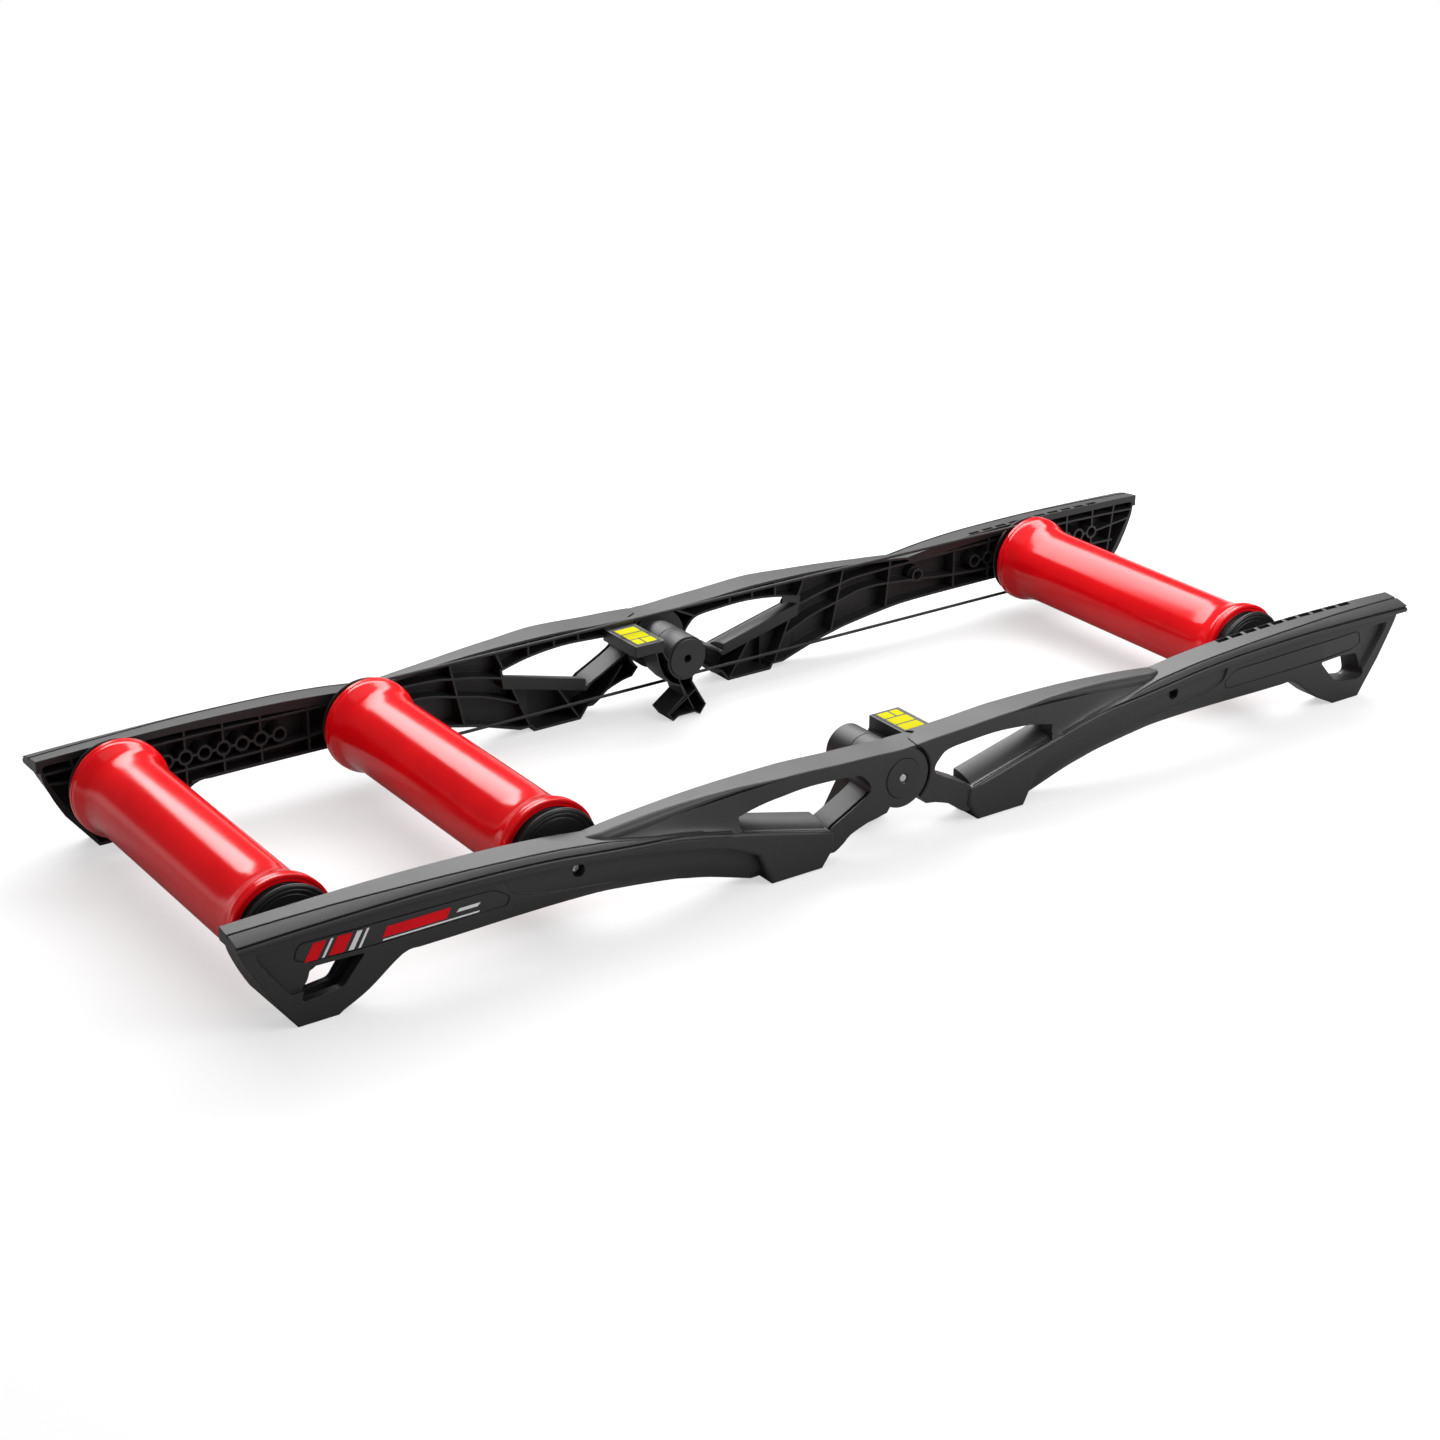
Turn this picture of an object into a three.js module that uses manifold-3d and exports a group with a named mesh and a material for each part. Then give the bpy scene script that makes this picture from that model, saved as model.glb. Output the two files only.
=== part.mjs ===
// Folding bike rollers: three drums between two ribbed plastic rails, hinged in the middle.
// Millimetres, +Z up, +X towards the front roller, origin on the floor under the hinge axis.
import * as THREE from 'three';
import { mergeVertices } from 'three/addons/utils/BufferGeometryUtils.js';
import Module from 'manifold-3d';

const wasm = await Module();
wasm.setup();

// Driving sizes of the frame
const railLength = 692.5; // hinge axis to the end of the top flange
const frameHalfWidth = 231.5; // middle plane to the outer edge of a top flange
const beamHeight = 104.5; // floor to the highest point of the top flange
const railDepth = 34.3; // outer edge of the flange to the inner edge of flange and ribs
const axleHeightShare = 0.6555; // floor to the roller axles and the hinge axis, of beamHeight
const axleHeight = axleHeightShare * beamHeight;
const skinSetback = 9.5; // beam's outer skin, in from the flange's outer edge
const hingeSetback = 2.8; // arch, strut and socket face, in from the flange's outer edge
const flangeSlope = 0.17; // fall of the top flange towards its outer edge

// Walls and gaps of the mouldings
const wall = 2.8;
const ribThickness = 2.2;
const windowWall = 2.4;
const fit = 0.4; // clearance between pieces that seat on each other
const runningGap = 0.6; // clearance between pieces that move past each other
const overrun = 3; // how far every cut runs past the face that it opens

// Depths of the pocket floors, from the outer edge of the flange
const hingePocketFloor = 6.2;
const beamPocketFloor = 12.5;
const archPocketFloor = 17.2;
const beamPocketStart = 150; // along the rail, where the hinge pocket floor ends
const archPocketStart = 195; // along the rail, where the arch pocket floor starts
const archPocketEnd = 355;

// Roller positions along the rail
const fixedHoleShare = 0.5184; // hinge axis to the fixed hole, of railLength
const fixedHole = fixedHoleShare * railLength;
const firstHoleShare = 0.6407; // hinge axis to the nearest of the ten holes, of railLength
const firstHole = firstHoleShare * railLength;
const holePitch = 20;
const holeCount = 10;
const rearRollerHole = 9;
const frontRollerHole = 3;

// Axle sockets on the inner side of the rails
const socketRadius = 5.5;
const socketWall = 2.5;
const socketFloor = 15.5;
const fixedSocketFloor = 22;
const boltWeb = 3.2; // wall between the fixed hole's socket and its outer counterbore
const boltHoleRadius = 3.4;
const counterboreRadius = 6.4;

// Position slots along the inner edge of the front flanges
const slotLength = 15.5;
const slotDepth = 4.6;
const flangeThickness = 6.9;

// Hinge
const knuckleRadius = 30.5;
const knuckleSetback = 2;
const socketGap = 3;
const barrelRadius = 24;
const barrelSplit = 63.5; // flange's outer edge to the joint between the two barrels
const barrelEnd = 96; // flange's outer edge to the end of the barrel
const barrelStep = 2; // smaller disc on the barrel's end, its height
const barrelStepInset = 2.5;
const pinRadius = 4;
const pinEndDepth = 12; // how far the pin stops short of the barrel's end
const pinSetback = 3; // pin's outer end, in from the flange's outer edge
const pinChamfer = 0.7;
const coverRadius = 20;
const coverThickness = 2.6;
const tongueThickness = 4.6;
const tonguePlan = [[0, 34.3], [26, 34.3], [31, 28], [17.5, 20], [15, 4], [0, 3]]; // [along, depth]
const knuckleTipAngle = -61; // lower corner where the strut leaves its own knuckle, in degrees
const socketTipAngle = -49; // lower corner of the socket half

// Step block, web and centre foot on the socket half
const stepHeightShare = 0.909; // floor to the step block's top, of beamHeight
const stepHeight = stepHeightShare * beamHeight;
const stepThickness = 13;
const stepStart = 28;
const stepEnd = 64;
const stepRoot = 31; // how deep in the rail the block is rooted, from the flange's outer edge
const labelMargin = 3.5;
const labelThickness = 0.6;
const labelOuter = 41.5; // flange's outer edge to the label's two ends
const labelInner = 91.5;

// Rollers
const drumRadius = 41.9;
const flareRadius = 49.6;
const drumRailGap = 25.7; // drum's end to the rail's inner side
const drumHalfLength = frameHalfWidth - railDepth - drumRailGap;
const flareReach = 46.5; // drum's end to where it starts to widen
const flareStart = drumHalfLength - flareReach;
const rimWidth = 9.5;
const flareEnd = drumHalfLength - rimWidth;
const flareShares = [[0.35, 0.05], [0.62, 0.28], [0.82, 0.68]]; // between start and end, and between radii
const drumWall = 3;
const rimRound = 3.2;
const rimSteps = 2; // straight pieces that round the rim's edge
const capSeatDepth = 13;
const capSeatRadius = 42;
const capRecess = 2.5; // black ring's face, in from the drum's end
const capRimRadius = 42;
const capReach = 13.1; // how far a cap stands out of the drum
const capEnd = drumHalfLength + capReach;
const capRimWidth = 3;
const capChamfer = 1.8;
const capWall = 2.5;
const hubWall = 3.2;
const grooveRadius = 37.2;
const grooveWidth = 7;
const grooveFlank = 1.2; // how much narrower the groove's bottom is on each side
const bearingRadius = 13;
const bearingWidth = 8;
const bearingRecess = 2; // bearing's outer face, in from the cap's
const bearingShoulder = 3; // lip of the cap behind the bearing
const shoulderRadius = 9.5;
const axleRadius = 5;
const spacerRadius = 8.2;
const boltShankRadius = 2.8;
const boltHeadRadius = 5;
const boltHeadHeight = 2;
const boltLength = 16;
const boltKeyRadius = 2.4;
const boltKeyDepth = 1.3;

// Drive belt
const beltThickness = 3.4;
const beltBevel = 1; // bevel on the corners of its section
const beltSpans = 10; // straight pieces in each half turn

// Colours and finishes
const blackPlastic = { color: 0x232425, roughness: 0.55, metalness: 0 };
const redPaint = { color: 0xd80812, roughness: 0.18, metalness: 0 };
const capPlastic = { color: 0x1b1b1c, roughness: 0.5, metalness: 0 };
const steel = { color: 0xb9bcc0, roughness: 0.28, metalness: 1 };
const beltRubber = { color: 0x101010, roughness: 0.7, metalness: 0 };
const yellowLabel = { color: 0xf2e300, roughness: 0.5, metalness: 0 };

// Outline stations, [share of railLength from the hinge axis, share of beamHeight]

// Top of the flange and then of the strap, at the rail's inner edge
const flangeTopShares = [
  [1.000, 0.973], [0.913, 0.990], [0.780, 1.000], [0.650, 0.982], [0.560, 0.945],
  [0.495, 0.896], [0.433, 0.852], [0.368, 0.807], [0.270, 0.666], [0.128, 0.430],
];
// Underside of the flange, which thickens where it turns into the strap
const flangeFootShares = [
  [1.000, 0.907], [0.913, 0.915], [0.780, 0.920], [0.650, 0.882], [0.560, 0.844],
  [0.495, 0.800], [0.433, 0.756], [0.368, 0.711], [0.270, 0.570], [0.128, 0.334],
];
// Proud band, strap and mid foot
const strapTopShares = [
  [0.578, 0.842], [0.495, 0.809], [0.433, 0.770], [0.368, 0.727], [0.270, 0.589], [0.130, 0.354],
];
const midFootShares = [
  [0.121, 0.341], [0.117, 0.190], [0.138, 0.000], [0.221, 0.000], [0.225, 0.048],
];
const bandFootShares = [
  [0.245, 0.321], [0.290, 0.457], [0.325, 0.524], [0.409, 0.645], [0.497, 0.737], [0.578, 0.790],
];
// Lower edge of the beam, from the mid foot out to the end foot
const lowerEdgeShares = [
  [0.245, 0.054], [0.310, 0.189], [0.348, 0.249], [0.375, 0.286], [0.442, 0.346],
  [0.505, 0.381], [0.657, 0.391], [0.764, 0.388], [0.775, 0.371],
];
const endFootShares = [[0.823, 0.145], [0.859, 0.025], [0.866, 0.000], [0.921, 0.000]];
const endFaceShares = [[0.959, 0.376], [0.982, 0.648], [0.992, 0.785], [0.996, 0.900]];
// Where the beam's skin ends inside the strap
const beamRootShares = [
  [0.495, 0.840], [0.433, 0.780], [0.368, 0.700], [0.270, 0.560], [0.210, 0.300], [0.200, 0.060],
];
// Arch over the window, from its nose to the hinge
const archTopShares = [
  [0.505, 0.886], [0.477, 0.911], [0.430, 0.944], [0.378, 0.972], [0.332, 0.991],
  [0.274, 1.004], [0.209, 1.008], [0.173, 1.004], [0.136, 0.991], [0.108, 0.980],
  [0.058, 0.968], [0.020, 0.952], [0.000, 0.947],
];
// How deep the arch's outer face lies, as shares of railDepth: at its top edge and at its foot
const archFaceShares = [
  [0.50, 0.44], [0.44, 0.36], [0.40, 0.16], [0.38, 0.05], [0.33, 0.04], [0.25, 0.06],
];
const archCoveShare = 0.7; // how far the face has moved in at half height
const archRootShare = 0.115; // how far the arch reaches down into the strap, of beamHeight
// Lower edge of the strut that joins the mid foot to the hinge
const strutFootShares = [[0.160, 0.300], [0.124, 0.115], [0.103, 0.160], [0.088, 0.240], [0.060, 0.306]];
const strutTipShares = [[0.026, 0.349], [0.043, 0.325]]; // the first only on the knuckle half
const windowShares = [
  [0.270, 0.560], [0.274, 0.737], [0.228, 0.809], [0.172, 0.847], [0.118, 0.837],
  [0.079, 0.813], [0.064, 0.746], [0.056, 0.660], [0.064, 0.574], [0.120, 0.378], [0.128, 0.325],
];
const endWindowShares = [
  [0.826, 0.526], [0.869, 0.517], [0.911, 0.493], [0.926, 0.268], [0.917, 0.220], [0.862, 0.263],
];
// Scoop in the skin above the end foot: its outline, deepest along the first stations
const scoopShares = [
  [0.970, 0.740], [0.962, 0.632], [0.941, 0.427], [0.918, 0.225],
  [0.826, 0.526], [0.826, 0.740],
];
const scoopDepth = 2.4;

// Ribs on the inner side, as chains of stations like the outlines
const ribChainShares = [
  [[0.995, 0.820], [0.809, 0.850], [0.635, 0.838], [0.413, 0.817], [0.357, 0.775], [0.315, 0.727], [0.267, 0.646]],
  [[0.950, 0.500], [0.809, 0.530], [0.635, 0.540], [0.505, 0.620], [0.413, 0.660], [0.349, 0.574],
    [0.302, 0.498], [0.245, 0.345]],
  [[0.364, 0.960], [0.341, 0.260]],
  [[0.287, 0.980], [0.224, 0.010]],
  [[0.228, 0.990], [0.228, 0.800]],
  [[0.183, 0.990], [0.183, 0.840]],
  [[0.140, 0.980], [0.140, 0.840]],
  [[0.180, 0.420], [0.140, 0.020]],
  [[0.460, 0.900], [0.452, 0.360]],
  [[0.595, 0.930], [0.595, 0.380]],
  [[0.901, 0.650], [0.985, 0.720]],
  [[0.950, 0.930], [0.940, 0.380]],
  [[0.079, 0.800], [0.040, 0.930]],
  [[0.100, 0.160], [0.062, 0.480]],
];

// Profile of the web and centre foot, [share of stepEnd away from the hinge axis, share of axleHeight]
const webShares = [
  [0.63, 1.28], [0.56, 0.99], [0.47, 0.79], [0.32, 0.64], [0.12, 0.55], [0.05, 0.38], [0.39, 0.15],
  [0.27, 0.00], [0.16, 0.06], [-0.16, 0.06], [-0.27, 0.00], [-0.39, 0.15], [-0.11, 0.60],
  [-0.14, 0.74], [0.00, 0.90], [0.38, 1.06], [0.50, 1.28],
];
const webRibShares = [
  [[0.33, 0.13], [-0.19, 0.45]], [[-0.14, 0.12], [0.17, 0.70]],
];

// Vertices and triangles of a three.js geometry as a solid that can be joined and cut
function solid(geometry) {
  const bare = geometry.clone();
  bare.deleteAttribute('normal');
  bare.deleteAttribute('uv');
  const merged = mergeVertices(bare, 1e-5);
  return new wasm.Manifold(new wasm.Mesh({
    numProp: 3,
    vertProperties: new Float32Array(merged.attributes.position.array),
    triVerts: new Uint32Array(merged.index.array),
  }));
}

// A cut or joined solid back as a geometry, mirrored along the rail for the opposite hand
function geometryOf(manifold, mirrored = false) {
  const mesh = manifold.getMesh();
  const positions = Float32Array.from(mesh.vertProperties);
  const index = Array.from(mesh.triVerts);
  if (mirrored) {
    for (let i = 0; i < positions.length; i += 3) {
      positions[i] *= -1;
    }
    index.reverse();
  }
  const geometry = new THREE.BufferGeometry();
  geometry.setAttribute('position', new THREE.BufferAttribute(positions, 3));
  geometry.setIndex(index);
  geometry.computeVertexNormals();
  return geometry;
}

function join(solids) {
  return solids.reduce((whole, piece) => whole.add(piece));
}

// Rails are drawn as a side view, x along the rail from the hinge axis and y up.
// Depth runs from the flange's outer edge, at z = 0, inwards along -z.
function sideView(shares) {
  return shares.map(([along, up]) => new THREE.Vector2(along * railLength, up * beamHeight));
}

function slab(outline, outer, inner) {
  const shape = new THREE.Shape(outline);
  const geometry = new THREE.ExtrudeGeometry(shape, { depth: inner - outer, bevelEnabled: false });
  geometry.translate(0, 0, -inner);
  return solid(geometry);
}

function disc(along, up, radius, outer, inner, sides = 32) {
  const geometry = new THREE.CylinderGeometry(radius, radius, inner - outer, sides);
  geometry.rotateX(Math.PI / 2);
  geometry.translate(along, up, -(inner + outer) / 2);
  return solid(geometry);
}

function rectangle(left, right, bottom, top) {
  return [
    new THREE.Vector2(left, bottom), new THREE.Vector2(right, bottom),
    new THREE.Vector2(right, top), new THREE.Vector2(left, top),
  ];
}

// An outline moved sideways by a distance, outwards when it is positive
function offset(outline, distance) {
  const turn = Math.sign(THREE.ShapeUtils.area(outline));
  return outline.map((point, i) => {
    const before = outline[(i + outline.length - 1) % outline.length];
    const after = outline[(i + 1) % outline.length];
    const a = point.clone().sub(before).normalize();
    const b = after.clone().sub(point).normalize();
    const normal = new THREE.Vector2(a.y + b.y, -a.x - b.x).normalize();
    const stretch = Math.max(normal.dot(new THREE.Vector2(a.y, -a.x)), 0.4);
    return point.clone().addScaledVector(normal, turn * distance / stretch);
  });
}

// A smooth line through stations
function smooth(points, perSpan) {
  return new THREE.SplineCurve(points).getPoints((points.length - 1) * perSpan);
}

function heightAt(points, along) {
  const ordered = [...points].sort((p, q) => p.x - q.x);
  const next = Math.max(1, ordered.findIndex((p) => p.x >= along));
  const before = ordered[next - 1];
  const after = ordered[next];
  return THREE.MathUtils.mapLinear(along, before.x, after.x, before.y, after.y);
}

function aroundHinge(radius, degrees) {
  const angle = THREE.MathUtils.degToRad(degrees);
  return new THREE.Vector2(radius * Math.cos(angle), axleHeight + radius * Math.sin(angle));
}

const flangeTop = smooth(sideView(flangeTopShares), 2);
const archTop = sideView(archTopShares);
const lowerEdge = smooth(sideView(lowerEdgeShares), 2);

// Top flange, whose surface falls towards its outer edge, running on as the top of the strap
function flange() {
  const foot = sideView(flangeFootShares);
  const shape = new THREE.Shape([...flangeTop, ...foot.reverse()]);
  const geometry = new THREE.ExtrudeGeometry(shape, { depth: railDepth, bevelEnabled: false });
  geometry.translate(0, 0, -railDepth);
  const shear = new THREE.Matrix4().set(
    1, 0, 0, 0,
    0, 1, -flangeSlope, -flangeSlope * railDepth,
    0, 0, 1, 0,
    0, 0, 0, 1,
  );
  geometry.applyMatrix4(shear);
  return solid(geometry);
}

// Proud band under the flange's edge, strap under the window and mid foot
function strap() {
  const foot = smooth(sideView(bandFootShares), 2);
  return slab([...sideView(strapTopShares), ...sideView(midFootShares), ...foot], 0, railDepth);
}

// Scoop that runs out to nothing along its far side
function scoop() {
  const outline = sideView(scoopShares);
  const deepest = outline[0].x;
  const shallowest = outline[outline.length - 1].x;
  const geometry = new THREE.ExtrudeGeometry(
    new THREE.Shape(outline), { depth: scoopDepth + overrun, bevelEnabled: false },
  );
  const position = geometry.attributes.position;
  for (let i = 0; i < position.count; i += 1) {
    if (position.getZ(i) === 0) {
      const share = (position.getX(i) - shallowest) / (deepest - shallowest);
      position.setZ(i, scoopDepth * (1 - THREE.MathUtils.clamp(share, 0, 1)));
    }
  }
  geometry.translate(0, 0, -skinSetback - scoopDepth);
  return solid(geometry);
}

function beamOutline() {
  const top = sideView(flangeTopShares).filter((p) => p.x > beamRootShares[0][0] * railLength && p.x < railLength);
  const under = top.map((p) => new THREE.Vector2(p.x, p.y - flangeSlope * railDepth));
  return [
    ...under, ...sideView(beamRootShares), ...lowerEdge,
    ...sideView(endFootShares), ...sideView(endFaceShares),
  ];
}

// One four-sided block of the arch, whose outer face lies at a depth of its own at each corner
function leaningBlock(corners, depths) {
  const shape = new THREE.Shape(corners);
  const geometry = new THREE.ExtrudeGeometry(shape, { depth: railDepth, bevelEnabled: false });
  const position = geometry.attributes.position;
  for (let i = 0; i < position.count; i += 1) {
    if (position.getZ(i) > 0) {
      const here = new THREE.Vector2(position.getX(i), position.getY(i));
      const distances = corners.map((corner) => corner.distanceTo(here));
      const nearest = distances.indexOf(Math.min(...distances));
      position.setZ(i, railDepth - depths[nearest]);
    }
  }
  geometry.translate(0, 0, -railDepth);
  return solid(geometry);
}

// Outer half of the arch, whose face leans back and is coved towards the nose
function leaningArch() {
  const last = { top: hingeSetback / railDepth, foot: hingeSetback / railDepth };
  const columns = archTop.slice(0, archFaceShares.length + 1).map((top, i) => {
    const face = i < archFaceShares.length ? archFaceShares[i] : [last.top, last.foot];
    const [upper, lower] = face.map((share) => share * railDepth);
    const ledge = heightAt(flangeTop, top.x) - flangeSlope * (railDepth - lower);
    const root = ledge - archRootShare * beamHeight;
    const cove = THREE.MathUtils.lerp(lower, upper, archCoveShare);
    return {
      x: top.x,
      heights: [root, ledge, (ledge + top.y) / 2, top.y],
      depths: [lower, lower, cove, upper],
    };
  });
  const blocks = [];
  for (let i = 0; i + 1 < columns.length; i += 1) {
    const [far, near] = [columns[i], columns[i + 1]];
    for (let k = 0; k < 3; k += 1) {
      blocks.push(leaningBlock(
        [
          new THREE.Vector2(near.x, near.heights[k]), new THREE.Vector2(far.x, far.heights[k]),
          new THREE.Vector2(far.x, far.heights[k + 1]), new THREE.Vector2(near.x, near.heights[k + 1]),
        ],
        [near.depths[k], far.depths[k], far.depths[k + 1], near.depths[k + 1]],
      ));
    }
  }
  return join(blocks);
}

// Hinge axis and the lower corner beside the knuckle, or out past the gap round it
function hingeTip(isKnuckle) {
  const centre = new THREE.Vector2(0, axleHeight);
  if (isKnuckle) {
    return [centre, aroundHinge(knuckleRadius - overrun, knuckleTipAngle), ...sideView(strutTipShares)];
  }
  return [centre, aroundHinge(knuckleRadius + socketGap, socketTipAngle), ...sideView(strutTipShares.slice(1))];
}

// Arch, strut and hinge end, which share one flat outer face
function hingeEndOutline(isKnuckle) {
  const start = archTop[archFaceShares.length];
  const root = heightAt(flangeTop, start.x) - archRootShare * beamHeight;
  return [
    ...archTop.slice(archFaceShares.length), ...hingeTip(isKnuckle),
    ...sideView(strutFootShares).reverse(), new THREE.Vector2(start.x, root),
  ];
}

// Whole side view of one rail half, for the pockets that hollow it from the inner side
function railOutline(isKnuckle) {
  const nose = archTop[0].x;
  const foot = sideView(flangeFootShares).filter((p) => p.x > nose && p.x < railLength - wall);
  const under = foot.map((p) => new THREE.Vector2(p.x, p.y + wall));
  return [
    ...under, ...archTop, ...hingeTip(isKnuckle), ...sideView(strutFootShares.slice(1)).reverse(),
    ...sideView(midFootShares.slice(2)), ...lowerEdge, ...sideView(endFootShares),
    ...sideView(endFaceShares),
  ];
}

// A thin upright wall along a chain of points of the side view
function rib(chain, inner = railDepth + overrun) {
  const sides = [1, -1].map((way) => chain.map((point, i) => {
    const before = chain[Math.max(i - 1, 0)];
    const after = chain[Math.min(i + 1, chain.length - 1)];
    const along = after.clone().sub(before).setLength(ribThickness / 2);
    return new THREE.Vector2(point.x + way * along.y, point.y - way * along.x);
  }));
  return slab([...sides[0], ...sides[1].reverse()], hingePocketFloor - overrun, inner);
}

function holePlaces() {
  return Array.from({ length: holeCount }, (_, k) => firstHole + k * holePitch);
}

function ribs() {
  const walls = ribChainShares.map((shares) => rib(sideView(shares)));
  const holes = holePlaces();
  const level = new THREE.Vector2(0, axleHeight);
  const first = level.clone().setX(holes[0]);
  const last = level.clone().setX(holes[holeCount - 1]);
  walls.push(rib([first, last]));
  for (let k = 1; k < holeCount; k += 2) {
    const foot = new THREE.Vector2(holes[k], heightAt(lowerEdge, fixedHole));
    walls.push(rib([foot, new THREE.Vector2(holes[k], heightAt(flangeTop, holes[k]) - flangeThickness)]));
  }
  const places = [fixedHole, ...holes];
  const rings = places.map((x) => disc(
    x, axleHeight, socketRadius + socketWall, hingePocketFloor - overrun, railDepth + overrun, 8,
  ));
  return join([...walls, ...rings]);
}

// Everything that the inner side is hollowed by
function pockets(isKnuckle) {
  const inside = slab(offset(railOutline(isKnuckle), -wall), hingePocketFloor, railDepth + overrun);
  const kept = [
    ribs(),
    slab(rectangle(beamPocketStart, railLength, 0, beamHeight + overrun), 0, beamPocketFloor),
    slab(rectangle(archPocketStart, archPocketEnd, 0, beamHeight + overrun), 0, archPocketFloor),
    disc(0, axleHeight, knuckleRadius + socketGap + wall, 0, railDepth + overrun),
    ...[windowShares, endWindowShares].map((shares) => slab(
      offset(sideView(shares), windowWall), 0, railDepth + overrun,
    )),
  ];
  if (!isKnuckle) {
    kept.push(slab(
      rectangle(stepStart, stepEnd, stepHeight - stepThickness, beamHeight), 0, railDepth + overrun,
    ));
  }
  return inside.subtract(join(kept));
}

// Axle sockets, the fixed hole's bolt seat and, on the front halves, the position slots
function cuts(hasSlots) {
  const list = [fixedHole, ...holePlaces()].map((x) => disc(
    x, axleHeight, socketRadius, x === fixedHole ? fixedSocketFloor : socketFloor, railDepth + overrun, 10,
  ));
  list.push(disc(fixedHole, axleHeight, boltHoleRadius, 0, fixedSocketFloor + overrun, 10));
  list.push(disc(fixedHole, axleHeight, counterboreRadius, 0, fixedSocketFloor - boltWeb, 16));
  if (hasSlots) {
    for (const x of holePlaces()) {
      const top = heightAt(flangeTop, x);
      const outline = rectangle(
        x - slotLength / 2, x + slotLength / 2, top - flangeThickness - fit, top + overrun,
      );
      list.push(slab(outline, railDepth - slotDepth, railDepth + overrun));
    }
  }
  return join(list);
}

// Flat tongue on top of the knuckle that covers the seam over the other half.
// Its plan is [distance past the hinge axis, depth]; the way is 1 in the other half's own view.
function tongue(way, gap) {
  const top = archTop[archTop.length - 1].y;
  const plan = tonguePlan.map(([past, depth]) => new THREE.Vector2(way * past, depth));
  const outline = gap > 0 ? offset(plan, gap) : plan;
  const height = gap > 0 ? tongueThickness + gap + overrun : tongueThickness;
  const geometry = new THREE.ExtrudeGeometry(new THREE.Shape(outline), { depth: height, bevelEnabled: false });
  geometry.rotateX(-Math.PI / 2);
  geometry.translate(0, top - tongueThickness - gap, 0);
  return solid(geometry);
}

// Knuckle disc, outer barrel and tongue
function withKnuckle(rail) {
  const whole = join([
    rail,
    disc(0, axleHeight, knuckleRadius, knuckleSetback, railDepth, 40),
    disc(0, axleHeight, barrelRadius, railDepth - overrun, barrelSplit),
    tongue(-1, 0),
  ]);
  return whole
    .subtract(disc(0, axleHeight, coverRadius + fit, 0, knuckleSetback + coverThickness + fit))
    .subtract(disc(0, axleHeight, pinRadius + fit, 0, barrelSplit + overrun, 16));
}

function webOutline(shares) {
  return shares.map(([along, up]) => new THREE.Vector2(along * stepEnd, up * axleHeight));
}

// Socket round the other half's knuckle, step block, inner barrel, web and centre foot
function withSocket(rail) {
  const split = barrelSplit + runningGap;
  const face = barrelEnd - barrelStep;
  const step = slab(rectangle(stepStart, stepEnd, stepHeight - stepThickness, stepHeight), stepRoot, face);
  const socket = disc(0, axleHeight, knuckleRadius + socketGap, -overrun, railDepth + runningGap, 40);
  const barrel = join([
    disc(0, axleHeight, barrelRadius, split, face),
    disc(0, axleHeight, barrelRadius - barrelStepInset, face - overrun, barrelEnd),
  ]);
  const web = slab(webOutline(webShares), split, face);
  const webPocket = slab(offset(webOutline(webShares), -wall), split + wall, face + overrun);
  const webKept = [
    disc(0, axleHeight, barrelRadius, split, face + overrun),
    slab(rectangle(0, stepEnd, stepHeight - stepThickness, stepHeight), split, face + overrun),
    ...webRibShares.map((shares) => rib(webOutline(shares), face + overrun)),
  ];
  return rail.add(step)
    .subtract(socket)
    .subtract(tongue(1, runningGap))
    .add(web.subtract(webPocket.subtract(join(webKept))))
    .add(barrel)
    .subtract(slab(
      rectangle(stepStart + labelMargin - fit, stepEnd - labelMargin + fit, stepHeight - labelThickness, beamHeight),
      labelOuter - fit, labelInner + fit,
    ))
    .subtract(disc(0, axleHeight, pinRadius + fit, 0, barrelEnd + overrun, 16));
}

function railHalf({ isKnuckle, hasSlots }) {
  const windows = join([windowShares, endWindowShares].map((shares) => slab(
    sideView(shares), -overrun, railDepth + overrun,
  )));
  const skins = join([
    slab(beamOutline(), skinSetback, railDepth),
    slab(hingeEndOutline(isKnuckle), hingeSetback, railDepth),
    leaningArch(),
  ]);
  const rail = skins.subtract(windows).subtract(scoop()).add(strap()).add(flange())
    .subtract(pockets(isKnuckle))
    .subtract(cuts(hasSlots));
  return geometryOf(isKnuckle ? withKnuckle(rail) : withSocket(rail), isKnuckle);
}

// Yellow plate let into the top of a step block
function labelPlate() {
  const top = stepHeight + labelThickness / 2;
  return geometryOf(slab(
    rectangle(stepStart + labelMargin, stepEnd - labelMargin, top - labelThickness, top),
    labelOuter, labelInner,
  ));
}

// A body of revolution about the across axis, from [radius, distance from the middle plane] pairs
function turned(profile, sides) {
  const points = profile.map(([radius, across]) => new THREE.Vector2(radius, across));
  const outward = THREE.ShapeUtils.area(points) < 0 ? points.reverse() : points;
  if (outward.every((point) => point.x > 0)) {
    outward.push(outward[0].clone());
  }
  return new THREE.LatheGeometry(outward, sides);
}

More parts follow.
